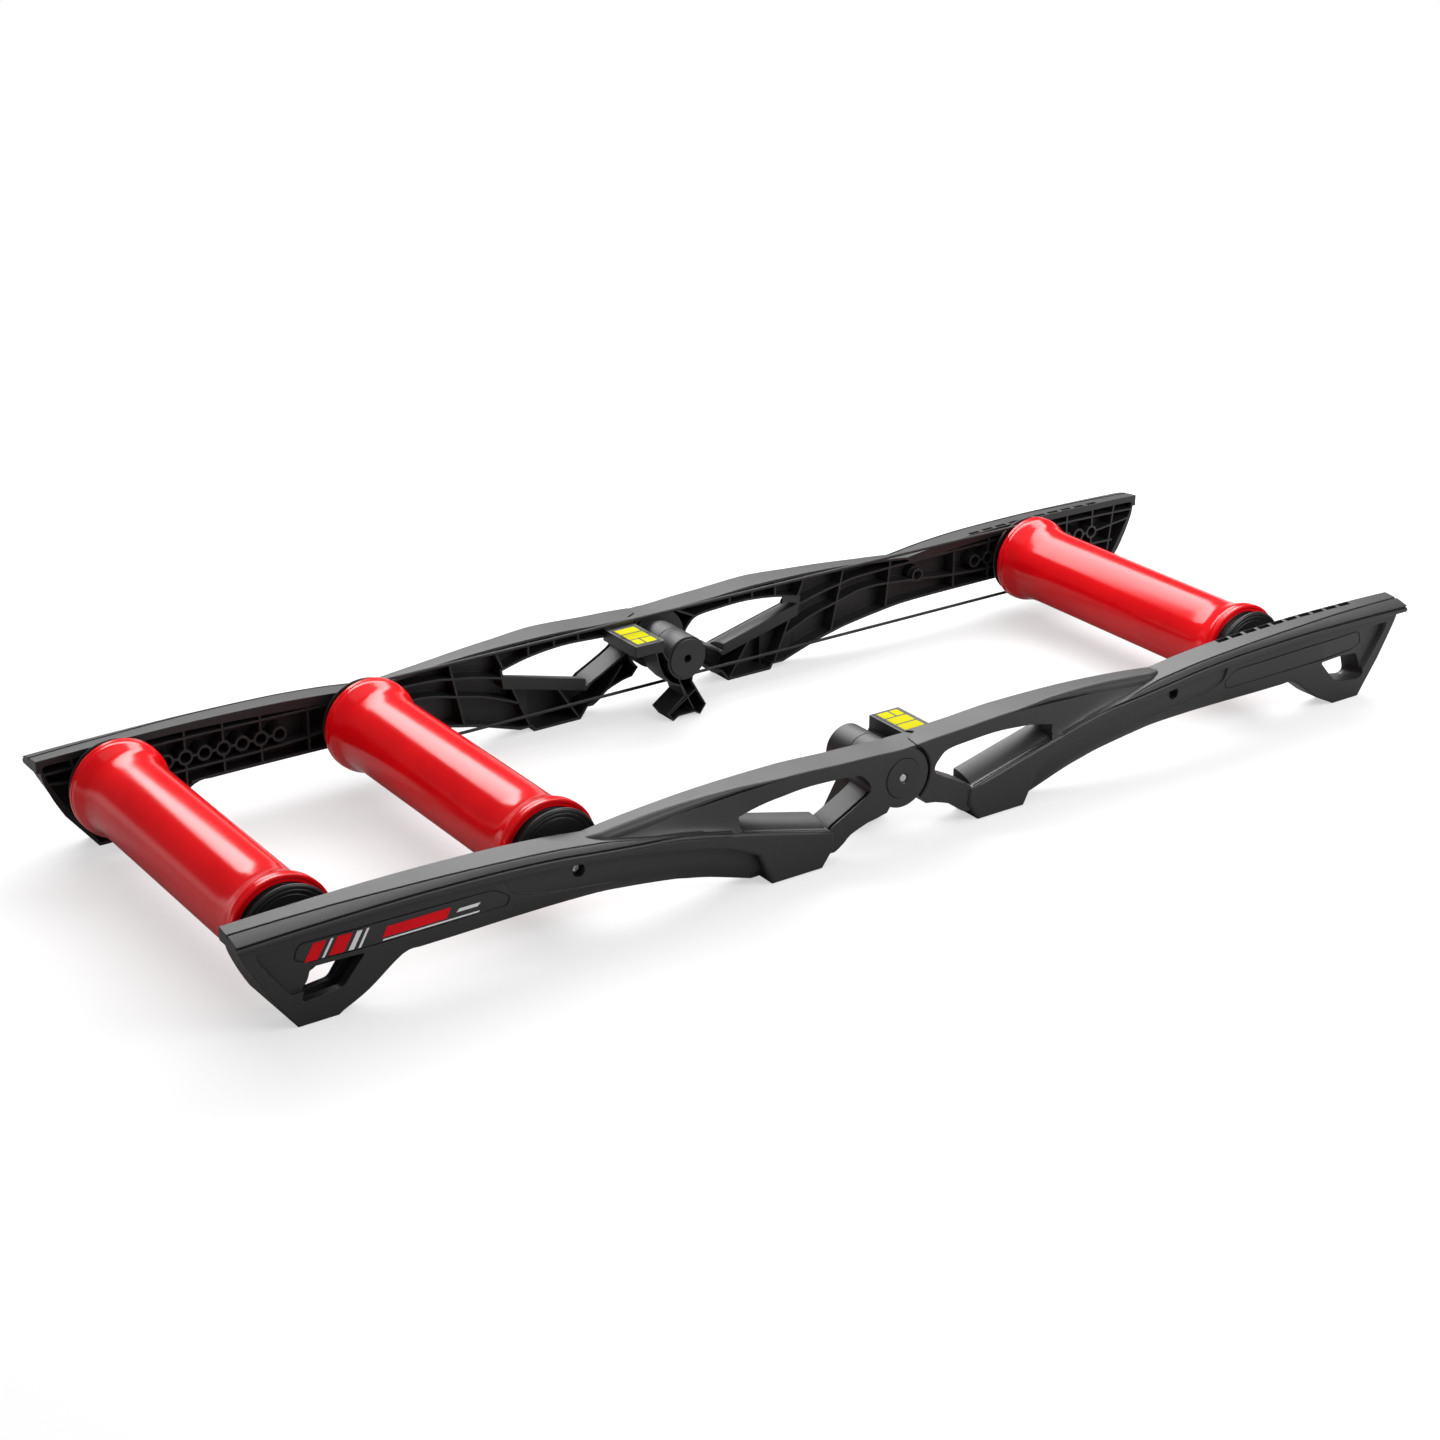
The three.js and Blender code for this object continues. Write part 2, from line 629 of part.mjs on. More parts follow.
// Roller drum with flared ends, one turned tube
function drum() {
  const flare = flareShares.map(([along, up]) => [
    THREE.MathUtils.lerp(drumRadius, flareRadius, up), THREE.MathUtils.lerp(flareStart, flareEnd, along),
  ]);
  const rim = Array.from({ length: rimSteps + 1 }, (_, i) => {
    const angle = Math.PI / 2 * i / rimSteps;
    return [
      flareRadius - rimRound + rimRound * Math.cos(angle),
      drumHalfLength - rimRound + rimRound * Math.sin(angle),
    ];
  });
  const half = [
    [drumRadius, flareStart], ...flare, [flareRadius, flareEnd], ...rim,
    [capSeatRadius, drumHalfLength], [capSeatRadius, drumHalfLength - capSeatDepth],
    [drumRadius - drumWall, drumHalfLength - capSeatDepth],
  ];
  const mirrored = half.map(([radius, across]) => [radius, -across]).reverse();
  return turned([...half, ...mirrored], 26);
}

// Pulley-shaped end cap: skirt in the drum, belt groove, outer rim and hub with the bearing's seat
function cap() {
  const face = drumHalfLength - capRecess;
  const rimBack = capEnd - capRimWidth;
  const grooveStart = rimBack - grooveWidth;
  const bearingOuter = capEnd - bearingRecess;
  const bearingInner = bearingOuter - bearingWidth - fit;
  return turned([
    [shoulderRadius, bearingInner - bearingShoulder],
    [bearingRadius + hubWall, bearingInner - bearingShoulder],
    [bearingRadius + hubWall, rimBack],
    [grooveRadius - capWall, rimBack],
    [grooveRadius - capWall, drumHalfLength - capSeatDepth + fit],
    [capSeatRadius - fit, drumHalfLength - capSeatDepth + fit],
    [capSeatRadius - fit, face],
    [grooveRadius + capWall, face],
    [grooveRadius, grooveStart + grooveFlank],
    [grooveRadius, rimBack - grooveFlank],
    [capRimRadius, rimBack],
    [capRimRadius, capEnd - capChamfer],
    [capRimRadius - capChamfer, capEnd],
    [bearingRadius + fit, capEnd],
    [bearingRadius + fit, bearingInner],
    [shoulderRadius, bearingInner],
  ], 20);
}

function ring(inner, outer, from, to, sides) {
  return turned([[inner, from], [outer, from], [outer, to], [inner, to]], sides);
}

function bearing() {
  const outer = capEnd - bearingRecess;
  return ring(axleRadius + fit, bearingRadius, outer - bearingWidth, outer, 14);
}

// Sleeve on the axle that keeps a roller clear of the rail
function spacer() {
  const from = capEnd - bearingRecess + fit;
  return ring(axleRadius + fit, spacerRadius, from, frameHalfWidth - railDepth - fit, 12);
}

function axle(hasThreads) {
  const end = frameHalfWidth - (hasThreads ? fixedSocketFloor : socketFloor) - fit;
  if (!hasThreads) {
    return turned([[0, -end], [axleRadius, -end], [axleRadius, end], [0, end]], 14);
  }
  const bore = boltShankRadius + fit;
  const depth = boltLength;
  return turned([
    [0, -end + depth], [bore, -end + depth], [bore, -end], [axleRadius, -end],
    [axleRadius, end], [bore, end], [bore, end - depth], [0, end - depth],
  ], 14);
}

// Screw that draws the rail onto the middle axle's end, its head in the outer counterbore
function bolt() {
  const seat = frameHalfWidth - fixedSocketFloor + boltWeb + fit;
  const top = seat + boltHeadHeight;
  return turned([
    [0, seat - boltLength], [boltShankRadius, seat - boltLength], [boltShankRadius, seat],
    [boltHeadRadius, seat], [boltHeadRadius, top], [boltKeyRadius, top],
    [boltKeyRadius, top - boltKeyDepth], [0, top - boltKeyDepth],
  ], 14);
}

function hingePin() {
  const inner = frameHalfWidth - barrelEnd + pinEndDepth;
  const outer = frameHalfWidth - pinSetback;
  return turned([
    [0, inner], [pinRadius, inner], [pinRadius, outer - pinChamfer], [pinRadius - pinChamfer, outer], [0, outer],
  ], 16);
}

// Smooth disc pressed into the knuckle round the pin's end
function hingeCover() {
  const outer = frameHalfWidth - knuckleSetback;
  return ring(pinRadius + fit, coverRadius, outer - coverThickness, outer, 24);
}

// Round drive belt, a flat loop on the two grooves it joins
function belt() {
  const loop = (radius) => [[middleRoller, 1], [frontRoller, -1]].flatMap(([x, way]) => Array.from(
    { length: beltSpans + 1 },
    (_, i) => {
      const angle = way * Math.PI / 2 + Math.PI * i / beltSpans;
      return new THREE.Vector2(x + radius * Math.cos(angle), radius * Math.sin(angle));
    },
  ));
  const inner = grooveRadius + fit;
  const shape = new THREE.Shape(loop(inner + beltThickness - beltBevel));
  shape.holes.push(new THREE.Path(loop(inner + beltBevel)));
  const geometry = new THREE.ExtrudeGeometry(shape, {
    depth: beltThickness - 2 * beltBevel,
    bevelThickness: beltBevel,
    bevelSize: beltBevel,
    bevelSegments: 1,
  });
  geometry.translate(0, 0, beltBevel - beltThickness / 2);
  geometry.rotateX(Math.PI / 2);
  return geometry;
}

const rearRoller = -(firstHole + rearRollerHole * holePitch);
const middleRoller = -fixedHole;
const frontRoller = firstHole + frontRollerHole * holePitch;

const rollers = new THREE.Group();

function mesh(name, geometry, look) {
  const piece = new THREE.Mesh(geometry, new THREE.MeshStandardMaterial(look));
  piece.name = name;
  return piece;
}

// Turned pieces lie on an axis across the frame, at a place along the rails
function addTurned(name, geometry, look, along, isRight = false) {
  const piece = mesh(name, geometry, look);
  piece.position.set(along, 0, axleHeight);
  piece.rotation.z = isRight ? Math.PI : 0;
  rollers.add(piece);
}

const stations = [['rear', rearRoller], ['middle', middleRoller], ['front', frontRoller]];
for (const [station, along] of stations) {
  addTurned(`roller_drum_${station}`, drum(), redPaint, along);
  addTurned(`axle_${station}`, axle(station === 'middle'), steel, along);
  for (const side of ['left', 'right']) {
    const isRight = side === 'right';
    addTurned(`end_cap_${station}_${side}`, cap(), capPlastic, along, isRight);
    addTurned(`bearing_${station}_${side}`, bearing(), steel, along, isRight);
    addTurned(`axle_spacer_${station}_${side}`, spacer(), capPlastic, along, isRight);
  }
}
for (const side of ['left', 'right']) {
  const isRight = side === 'right';
  addTurned(`middle_axle_bolt_${side}`, bolt(), steel, middleRoller, isRight);
  addTurned(`hinge_pin_${side}`, hingePin(), steel, 0, isRight);
  addTurned(`hinge_cover_${side}`, hingeCover(), blackPlastic, 0, isRight);
}

const driveBelt = mesh('drive_belt', belt(), beltRubber);
driveBelt.position.set(0, capEnd - capRimWidth - grooveWidth / 2, axleHeight);
rollers.add(driveBelt);

// Rails: the right pair stands on the near side, the left pair is the same turned half round
function addRail(group, name, geometry, look) {
  const piece = mesh(name, geometry, look);
  piece.rotation.x = Math.PI / 2;
  piece.position.y = -frameHalfWidth;
  group.add(piece);
}

const rightRails = new THREE.Group();
const leftRails = new THREE.Group();
leftRails.rotation.z = Math.PI;
addRail(rightRails, 'rear_rail_right', railHalf({ isKnuckle: true, hasSlots: false }), blackPlastic);
addRail(rightRails, 'front_rail_right', railHalf({ isKnuckle: false, hasSlots: true }), blackPlastic);
addRail(rightRails, 'label_plate_right', labelPlate(), yellowLabel);
addRail(leftRails, 'front_rail_left', railHalf({ isKnuckle: true, hasSlots: true }), blackPlastic);
addRail(leftRails, 'rear_rail_left', railHalf({ isKnuckle: false, hasSlots: false }), blackPlastic);
addRail(leftRails, 'label_plate_left', labelPlate(), yellowLabel);

const frame = new THREE.Group();
frame.add(rightRails, leftRails, rollers);
export default frame;
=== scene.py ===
import math

import bmesh
import bpy
from mathutils import Matrix, Vector


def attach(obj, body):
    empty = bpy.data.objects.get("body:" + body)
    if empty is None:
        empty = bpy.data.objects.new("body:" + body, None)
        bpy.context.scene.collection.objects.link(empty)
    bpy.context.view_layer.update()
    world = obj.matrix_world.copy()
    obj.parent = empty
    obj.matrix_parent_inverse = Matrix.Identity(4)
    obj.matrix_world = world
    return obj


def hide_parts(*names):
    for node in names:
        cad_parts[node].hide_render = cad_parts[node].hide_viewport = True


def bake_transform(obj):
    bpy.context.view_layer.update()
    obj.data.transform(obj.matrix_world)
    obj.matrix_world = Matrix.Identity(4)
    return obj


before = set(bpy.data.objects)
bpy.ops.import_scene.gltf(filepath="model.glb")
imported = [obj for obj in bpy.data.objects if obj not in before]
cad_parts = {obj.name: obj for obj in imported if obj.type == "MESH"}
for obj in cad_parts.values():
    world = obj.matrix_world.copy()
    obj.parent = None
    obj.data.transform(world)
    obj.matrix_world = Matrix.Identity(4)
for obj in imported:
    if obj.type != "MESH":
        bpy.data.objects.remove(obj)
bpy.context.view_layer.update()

# Camera
# A long lens at about the height of a person's hip, looking down over the rear right corner
# of the rollers towards the front left one.
camera_place = Vector((-1.47995, -2.03679, 1.13832))
camera_azimuth = math.radians(-35.011)
camera_elevation = math.radians(23.449)
camera_roll = math.radians(0.354)
camera_lens = 67.35
camera_sensor = 36

camera_data = bpy.data.cameras.new("studio_camera")
camera_data.lens = camera_lens
camera_data.sensor_width = camera_sensor
camera_data.clip_end = 50
camera = bpy.data.objects.new("studio_camera", camera_data)
bpy.context.scene.collection.objects.link(camera)
bpy.context.scene.camera = camera
camera.matrix_world = (
    Matrix.Translation(camera_place)
    @ Matrix.Rotation(camera_azimuth, 4, "Z")
    @ Matrix.Rotation(math.pi / 2 - camera_elevation, 4, "X")
    @ Matrix.Rotation(camera_roll, 4, "Z")
)
bpy.context.scene.view_settings.view_transform = "Standard"

# Rails, four halves
# Each half is one moulding of glass-filled nylon: a skin under a broad top flange, hollow towards
# the rollers and ribbed there. It is drawn in millimetres as a side view, u along the rail from
# the hinge axis and z up, with s the depth inwards from the flange's outer edge.
rail_length = 692.5
half_width = 231.5
beam_height = 104.5
rail_depth = 34.3
axle_height = 68.5
skin_setback = 9.5
hinge_setback = 2.8
edge_drop = 5.83  # fall of the flange from its inner to its outer edge
wall = 2.8
rib_thickness = 2.2
fit = 0.4
running_gap = 0.6
overrun = 3
soft_edge = 1.2  # radius of the mouldings' outer edges

flange_top_shares = [
    (1.000, 0.973), (0.913, 0.990), (0.780, 1.000), (0.650, 0.982), (0.560, 0.945),
    (0.495, 0.896), (0.433, 0.852), (0.368, 0.807), (0.270, 0.666), (0.128, 0.430),
]
flange_foot_shares = [
    (1.000, 0.907), (0.913, 0.915), (0.780, 0.920), (0.650, 0.882), (0.560, 0.844),
    (0.495, 0.800), (0.433, 0.756), (0.368, 0.711), (0.270, 0.570), (0.128, 0.334),
]
mid_foot_shares = [(0.121, 0.341), (0.117, 0.190), (0.138, 0.000), (0.221, 0.000), (0.225, 0.048)]
band_foot_shares = [
    (0.245, 0.321), (0.290, 0.457), (0.325, 0.524), (0.409, 0.645), (0.497, 0.737), (0.578, 0.790),
]
lower_edge_shares = [
    (0.245, 0.054), (0.310, 0.189), (0.348, 0.249), (0.375, 0.286), (0.442, 0.346),
    (0.505, 0.381), (0.657, 0.391), (0.764, 0.388), (0.775, 0.371),
]
end_foot_shares = [(0.823, 0.145), (0.859, 0.025), (0.866, 0.000), (0.921, 0.000)]
end_face_shares = [(0.959, 0.376), (0.982, 0.648), (0.992, 0.785), (0.996, 0.900)]
beam_root_shares = [
    (0.495, 0.840), (0.433, 0.780), (0.368, 0.700), (0.270, 0.560), (0.210, 0.300), (0.200, 0.060),
]
arch_top_shares = [
    (0.505, 0.886), (0.477, 0.911), (0.430, 0.944), (0.378, 0.972), (0.332, 0.991),
    (0.274, 1.004), (0.209, 1.008), (0.173, 1.004), (0.136, 0.991), (0.108, 0.980),
    (0.058, 0.968), (0.020, 0.952), (0.000, 0.947),
]
strut_foot_shares = [(0.160, 0.300), (0.124, 0.115), (0.103, 0.160), (0.088, 0.240), (0.060, 0.306)]
strut_tip_shares = [(0.026, 0.349), (0.043, 0.325)]
window_shares = [
    (0.270, 0.560), (0.274, 0.737), (0.228, 0.809), (0.172, 0.847), (0.118, 0.837),
    (0.079, 0.813), (0.064, 0.746), (0.056, 0.660), (0.064, 0.574), (0.120, 0.378), (0.128, 0.325),
]
rib_chain_shares = [
    [(0.995, 0.820), (0.809, 0.850), (0.635, 0.838), (0.413, 0.817), (0.357, 0.775), (0.315, 0.727),
     (0.267, 0.646)],
    [(0.950, 0.500), (0.809, 0.530), (0.635, 0.540), (0.505, 0.620), (0.413, 0.660), (0.349, 0.574),
     (0.302, 0.498), (0.245, 0.345)],
    [(0.364, 0.960), (0.341, 0.260)],
    [(0.287, 0.980), (0.224, 0.010)],
    [(0.228, 0.990), (0.228, 0.800)],
    [(0.183, 0.990), (0.183, 0.840)],
    [(0.140, 0.980), (0.140, 0.840)],
    [(0.180, 0.420), (0.140, 0.020)],
    [(0.460, 0.900), (0.452, 0.360)],
    [(0.595, 0.930), (0.595, 0.380)],
    [(0.901, 0.650), (0.985, 0.720)],
    [(0.950, 0.930), (0.940, 0.380)],
    [(0.079, 0.800), (0.040, 0.930)],
    [(0.100, 0.160), (0.062, 0.480)],
]


def side_view(shares):
    return [(along * rail_length, up * beam_height) for along, up in shares]


def smooth(points, per_span):
    line = []
    for i in range(len(points) - 1):
        around = (points[max(i - 1, 0)], points[i], points[i + 1], points[min(i + 2, len(points) - 1)])
        p0, p1, p2, p3 = (Vector(p) for p in around)
        leave, arrive = (p2 - p0) / 2, (p3 - p1) / 2
        for k in range(per_span):
            t = k / per_span
            line.append(tuple(
                (2 * p1 - 2 * p2 + leave + arrive) * t ** 3
                + (3 * p2 - 3 * p1 - 2 * leave - arrive) * t ** 2 + leave * t + p1
            ))
    line.append(tuple(points[-1]))
    return line


def height_at(points, along):
    ordered = sorted(points)
    for (x0, z0), (x1, z1) in zip(ordered, ordered[1:]):
        if along <= x1:
            break
    return z0 + (z1 - z0) * (along - x0) / (x1 - x0)


def ease(low, high, value):
    share = min(max((value - low) / (high - low), 0), 1)
    return share * share * (3 - 2 * share)


def offset(outline, distances):
    count = len(outline)
    if not isinstance(distances, (list, tuple)):
        distances = [distances] * count
    area = sum(
        outline[i][0] * outline[(i + 1) % count][1] - outline[(i + 1) % count][0] * outline[i][1]
        for i in range(count)
    )
    turn = 1 if area > 0 else -1
    moved = []
    for i, point in enumerate(outline):
        here = Vector(point)
        a = (here - Vector(outline[i - 1])).normalized()
        b = (Vector(outline[(i + 1) % count]) - here).normalized()
        normal = Vector((a.y + b.y, -a.x - b.x)).normalized()
        stretch = max(normal.dot(Vector((a.y, -a.x))), 0.4)
        moved.append(tuple(here + normal * turn * distances[i] / stretch))
    return moved


def mesh_of(shell, name):
    mesh = bpy.data.meshes.new(name)
    shell.to_mesh(mesh)
    shell.free()
    return mesh


def loft(rings):
    """A closed mesh through rings of [u, s, z] points, closed with a face at each end."""
    shell = bmesh.new()
    rows = [[shell.verts.new(point) for point in ring] for ring in rings]
    count = len(rows[0])
    for low, high in zip(rows, rows[1:]):
        for i in range(count):
            j = (i + 1) % count
            shell.faces.new((low[i], low[j], high[j], high[i]))
    shell.faces.new(rows[0][::-1])
    shell.faces.new(rows[-1])
    bmesh.ops.recalc_face_normals(shell, faces=shell.faces)
    return mesh_of(shell, "shell")


def slab(outline, outer, inner, outer_round=0, inner_round=0, steps=4, inner_outline=None):
    """The outline between two depths, its edges rounded at either face."""
    radii = outer_round if isinstance(outer_round, list) else [outer_round] * len(outline)
    rings = []
    if max(radii) > 0:
        for k in range(steps):
            angle = math.pi / 2 * k / steps
            flat = offset(outline, [-radius * (1 - math.sin(angle)) for radius in radii])
            rings.append([
                (u, outer + radius * (1 - math.cos(angle)), z) for (u, z), radius in zip(flat, radii)
            ])
        rings.append([(u, outer + radius, z) for (u, z), radius in zip(outline, radii)])
    else:
        rings.append([(u, outer, z) for u, z in outline])
    if inner_round > 0:
        for k in range(steps + 1):
            angle = math.pi / 2 * k / steps
            flat = offset(outline, -inner_round * (1 - math.cos(angle)))
            rings.append([(u, inner - inner_round * (1 - math.sin(angle)), z) for u, z in flat])
    else:
        rings.append([(u, inner, z) for u, z in inner_outline or outline])
    return loft(rings)


def rounded(corners, radius, steps=3):
    """A profile whose inner corners are rounded, its first and last points kept."""
    line = [corners[0]]
    for before, here, after in zip(corners, corners[1:], corners[2:]):
        a, b, c = Vector(before), Vector(here), Vector(after)
        reach = min(radius, (b - a).length * 0.45, (c - b).length * 0.45)
        start, end = b + (a - b).normalized() * reach, b + (c - b).normalized() * reach
        for k in range(steps + 1):
            t = k / steps
            line.append(tuple(start * (1 - t) ** 2 + b * 2 * t * (1 - t) + end * t ** 2))
    line.append(corners[-1])
    return line


def rounded_outline(corners, radius, steps=4):
    middle = tuple((Vector(corners[0]) + Vector(corners[-1])) / 2)
    return rounded([middle, *corners, middle], radius, steps)[:-1]


def polar(radius, angle):
    return radius * math.cos(angle), radius * math.sin(angle)


def points_round(radius, sides):
    return [polar(radius, 2 * math.pi * i / sides) for i in range(sides)]


def circle(along, up, radius, sides):
    return [(along + x, up + z) for x, z in points_round(radius, sides)]


def disc(along, up, radius, outer, inner, sides=64, outer_round=0, inner_round=0):
    return slab(circle(along, up, radius, sides), outer, inner, outer_round, inner_round)


def rectangle(left, right, bottom, top):
    return [(left, bottom), (right, bottom), (right, top), (left, top)]


def combined(base, *steps):
    """The mesh that is left after each (operation, [meshes]) step."""
    collection = bpy.context.scene.collection
    body = bpy.data.objects.new("body", base)
    collection.objects.link(body)
    tools = []
    for operation, meshes in steps:
        for mesh in meshes:
            tool = bpy.data.objects.new("tool", mesh)
            collection.objects.link(tool)
            tool.hide_render = True
            tools.append(tool)
            modifier = body.modifiers.new("step", "BOOLEAN")
            modifier.operation = operation
            modifier.solver = "MANIFOLD"
            modifier.object = tool
    result = bpy.data.meshes.new_from_object(body.evaluated_get(bpy.context.evaluated_depsgraph_get()))
    for piece in [body, *tools]:
        bpy.data.objects.remove(piece)
    return result


flange_top = smooth(side_view(flange_top_shares), 5)
flange_foot = smooth(side_view(flange_foot_shares), 5)
band_foot = smooth(side_view(band_foot_shares), 5)
lower_edge = smooth(side_view(lower_edge_shares), 5)
arch_top = smooth(side_view(arch_top_shares), 5)
end_foot = side_view(end_foot_shares)
end_face = smooth(side_view(end_face_shares), 3)

groove_places = [(280, 0), (300, 4), (335, 8), (433, 8), (540, 11.5), (600, 15), (692, 18)]
groove_from, groove_to = 280, 692
full_groove = 8  # distance from the edge at which the groove has its whole size
broad_slope = 0.10  # of the flange inside the groove
groove_half = 1.5
groove_depth = 3.2
flange_corner = 1.0
flange_skirt = 6  # how far the flange's sides go down below its outer edge
strip_crown = 0.35  # how far the strip outside the groove stands over a straight line
strip_spans = (0.2, 0.4, 0.6, 0.8, 0.92)
seam_height = 2.2  # narrow seam under the strip's edge
seam_depth = 2.4
seam_from, seam_to = 190, 215
roll_from, roll_to = 200, 186  # along the rail, where the flange rolls over to the strap
roll_first, roll_count = 4, 9  # points of the ring that make the rolled top
roll_flat = 1
sill_drop = 4.4  # outer edge of the flange to the strap under the window
sill_front = 5.1
sill_step = 0.19


def blended(here, there, share):
    return tuple(a + (b - a) * share for a, b in zip(here, there))


def flange_ring(along, top):
    groove = max(height_at(groove_places, min(max(along, groove_from), groove_to)), 0)
    share = min(groove / full_groove, 1)
    slope = broad_slope * share + edge_drop / rail_depth * (1 - share)
    edge = top - edge_drop
    lip = top - slope * (rail_depth - groove)
    corner = flange_corner
    half, deep = groove_half * share, groove_depth * share
    ring = [
        (rail_depth, edge - flange_skirt), (rail_depth, top - corner),
        (rail_depth - 0.3 * corner, top - 0.3 * corner), (rail_depth - corner, top - slope * corner),
        (groove + half + 0.02, lip + slope * half), (groove + half * 0.3 + 0.01, lip - deep),
        (groove - half * 0.3 + 0.005, lip - deep), (groove - half, lip),
    ]
    fade = ease(seam_from, seam_to, along)
    start, end = ring[-1], (0.8 * share, edge - 0.4 * share)
    for t in strip_spans:
        crown = strip_crown * share * 3 * t * (1 - t) * (1 + 0.5 * t)
        depth, height = blended(start, end, t)
        ring.append((depth, height + crown))
    under = edge - seam_height
    ring += [
        end, (0.9 + seam_depth * fade, edge - 0.9), (0.6 + seam_depth * fade, under),
        (0.02 + 1.4 * fade, under - 0.1), (0.01 + 0.5 * fade, under - 0.7),
        (0, under - 1.8), (0, edge - flange_skirt + 0.8), (1, edge - flange_skirt),
    ]
    roll = 1 - ease(roll_to, roll_from, along)
    if roll > 0:
        sill = edge - sill_drop
        for i in range(roll_count):
            depth = rail_depth - roll_flat - (rail_depth - sill_front - 1.1) * (i + 1) / roll_count
            fall = 1 - ((rail_depth - depth) / (rail_depth - 5.0)) ** 1.8
            k = roll_first + i
            ring[k] = blended(ring[k], (depth, sill + (top - sill) * fall ** 0.75), roll)
        for i, k in enumerate(range(roll_first + roll_count, len(ring))):
            ring[k] = blended(ring[k], (sill_front + 0.01 * i, sill - sill_step * i), roll)
    return [(along, s, z) for s, z in ring]


def flange():
    return loft([flange_ring(u, z) for u, z in flange_top])


strap_start = 90  # along the rail, where the strap under the window leaves the mid foot
band_drop, band_drop_more = 2, 2.2  # flange's edge to the band's top, and what is added past the window
band_drop_from, band_drop_to = 190, 240
band_round, band_round_less = 3.4, 2.0  # radius of its edges, and what it loses towards the rail's end
band_round_from, band_round_to = 230, 470
band_merge = 405  # along the rail, where the band's underside meets the flange's foot
nose = arch_top_shares[0][0] * rail_length  # where the arch runs out in the flange


def between(first, last, steps):
    return [first + (last - first) * i / steps for i in range(steps + 1)]


def outer_band():
    """Proud band below the flange's edge, strap under the window and mid foot."""
    top = [
        (u, z - edge_drop - band_drop - band_drop_more * ease(band_drop_from, band_drop_to, u))
        for u, z in flange_top if u > strap_start
    ]
    under = [(u, z - edge_drop) for u, z in flange_foot if u > band_merge]
    outline = [*top, *side_view(mid_foot_shares), *band_foot, *under[::-1]]
    radii = [
        band_round - band_round_less * ease(band_round_from, band_round_to, u) for u, _ in outline
    ]
    return slab(outline, 0, rail_depth, radii)


sill_groove_profile = [(3.6, -4.8), (5.0, -4.8), (5.0, 6), (3.6, 6)]  # depth, and height from the edge


def sill_groove():
    """Narrow groove between the rolled flange and the strap under the window."""
    return loft([
        [(along, s, height_at(flange_top, along) - edge_drop + z) for s, z in sill_groove_profile]
        for along in between(strap_start - 1, roll_to, 24)
    ])


# Depth, and height from the band's foot
cove_profile = [(6, 1.5), (6, -0.1), (14.5, -3.8), (16, -3.8), (16, 1.5)]
cove_from, cove_to = 176, 688


def band_foot_at(along):
    if along < band_foot[-1][0]:
        return height_at(band_foot, along)
    return height_at(flange_foot, along) - edge_drop


def cove():
    """Sloped ledge that joins the band's underside to the skin."""
    return loft([
        [(along, s, band_foot_at(along) + z) for s, z in cove_profile]
        for along in between(cove_from, cove_to, 89)
    ])


crown_above, crown_below = 2.4, 4.5  # how far the skin curves in at the band and at the lower edge
crown_middle = 0.45  # share of the skin's height where it stands proudest
crown_from, crown_to = 560, 380  # along the rail, where the crown grows to its full size
crown_cut_from, crown_cut_to = 150, 566
low_from, low_to = 170, 530  # stretch of the lower edge that the crown follows
cut_spacing = 6  # between the rings of a cut along the rail
cut_levels = 24
cut_below, cut_above = 8, 6  # how far a cut reaches past the skin


def skin_low(along):
    return height_at(lower_edge, min(max(along, low_from), low_to))


def skin_crown(along, up):
    """How far the skin curves in from its plane, towards the band above and the floor below."""
    low = skin_low(along)
    high = height_at(flange_foot, along) - edge_drop
    share = min(max((up - low) / (high - low), 0), 1)
    above = max(share - crown_middle, 0) / (1 - crown_middle)
    below = max(crown_middle - share, 0) / crown_middle
    size = 1 - ease(crown_to, crown_from, along)
    return (crown_above * above ** 2 + crown_below * below ** 2.2) * size + 0.001


def skin_cut(first, last, extra):
    """The space outside the crowned skin, deeper by extra(along)."""
    rings = []
    for along in between(first, last, round((last - first) / cut_spacing)):
        low = skin_low(along) - cut_below
        high = height_at(flange_foot, along) - edge_drop + cut_above
        ring = [(skin_setback - overrun, high), (skin_setback - overrun, low)]
        ring += [
            (skin_setback + skin_crown(along, up) + extra(along), up)
            for up in between(low, high, cut_levels)
        ]
        rings.append([(along, s, z) for s, z in ring])
    return loft(rings)


# Depth from the skin's plane, and how much the step's outline is grown there
step_sides = [(-overrun - 1, 3), (0, 0.6), (4, -1.4), (20, -1.5)]


def skin_step(outline, first, last, extra):
    region = loft([
        [(u, skin_setback + depth, z) for u, z in offset(outline, grown)] for depth, grown in step_sides
    ])
    return combined(skin_cut(first, last, extra), ("INTERSECT", [region]))


# The scoop is the dished stretch towards the rail's end, the hole step the shallow one round the axle hole
scoop_depth = 5.8
scoop_from, scoop_to, scoop_end = 575, 668, 680
scoop_outline = [
    *smooth([(671.5, 78.5), (670.6, 74), (666.5, 66), (651.7, 44.6), (635.8, 23.5)], 5),
    (scoop_from + 1, 55), (scoop_from + 1, 79),
]
hole_step_depth = 2.2
hole_step_from, hole_step_to, hole_step_end = 302, 432, 440
hole_step_outline = [
    *smooth([(435.5, 84), (434, 77), (428, 67), (413, 60), (380, 54.6), (338, 49), (300, 42)], 5),
    (300, 90),
]


def ramp(low, high, value):
    return min(max((value - low) / (high - low), 0), 1)


def scoop_at(along):
    return scoop_depth * ramp(scoop_from, scoop_to, along)


def hole_step_at(along):
    return hole_step_depth * ramp(hole_step_from, hole_step_to, along)


def skin_face(along, up):
    """Depth of the skin where the panel is."""
    return skin_setback + skin_crown(along, up) + scoop_at(along)


panel_outline = rounded_outline([
    (637, 62), (633, 75.8), (560, 76.6), (446, 74.5), (430, 64), (434, 56), (530, 56.2), (626, 57),
], 6)


panel_line_half, panel_line_depth = 0.6, 1.1


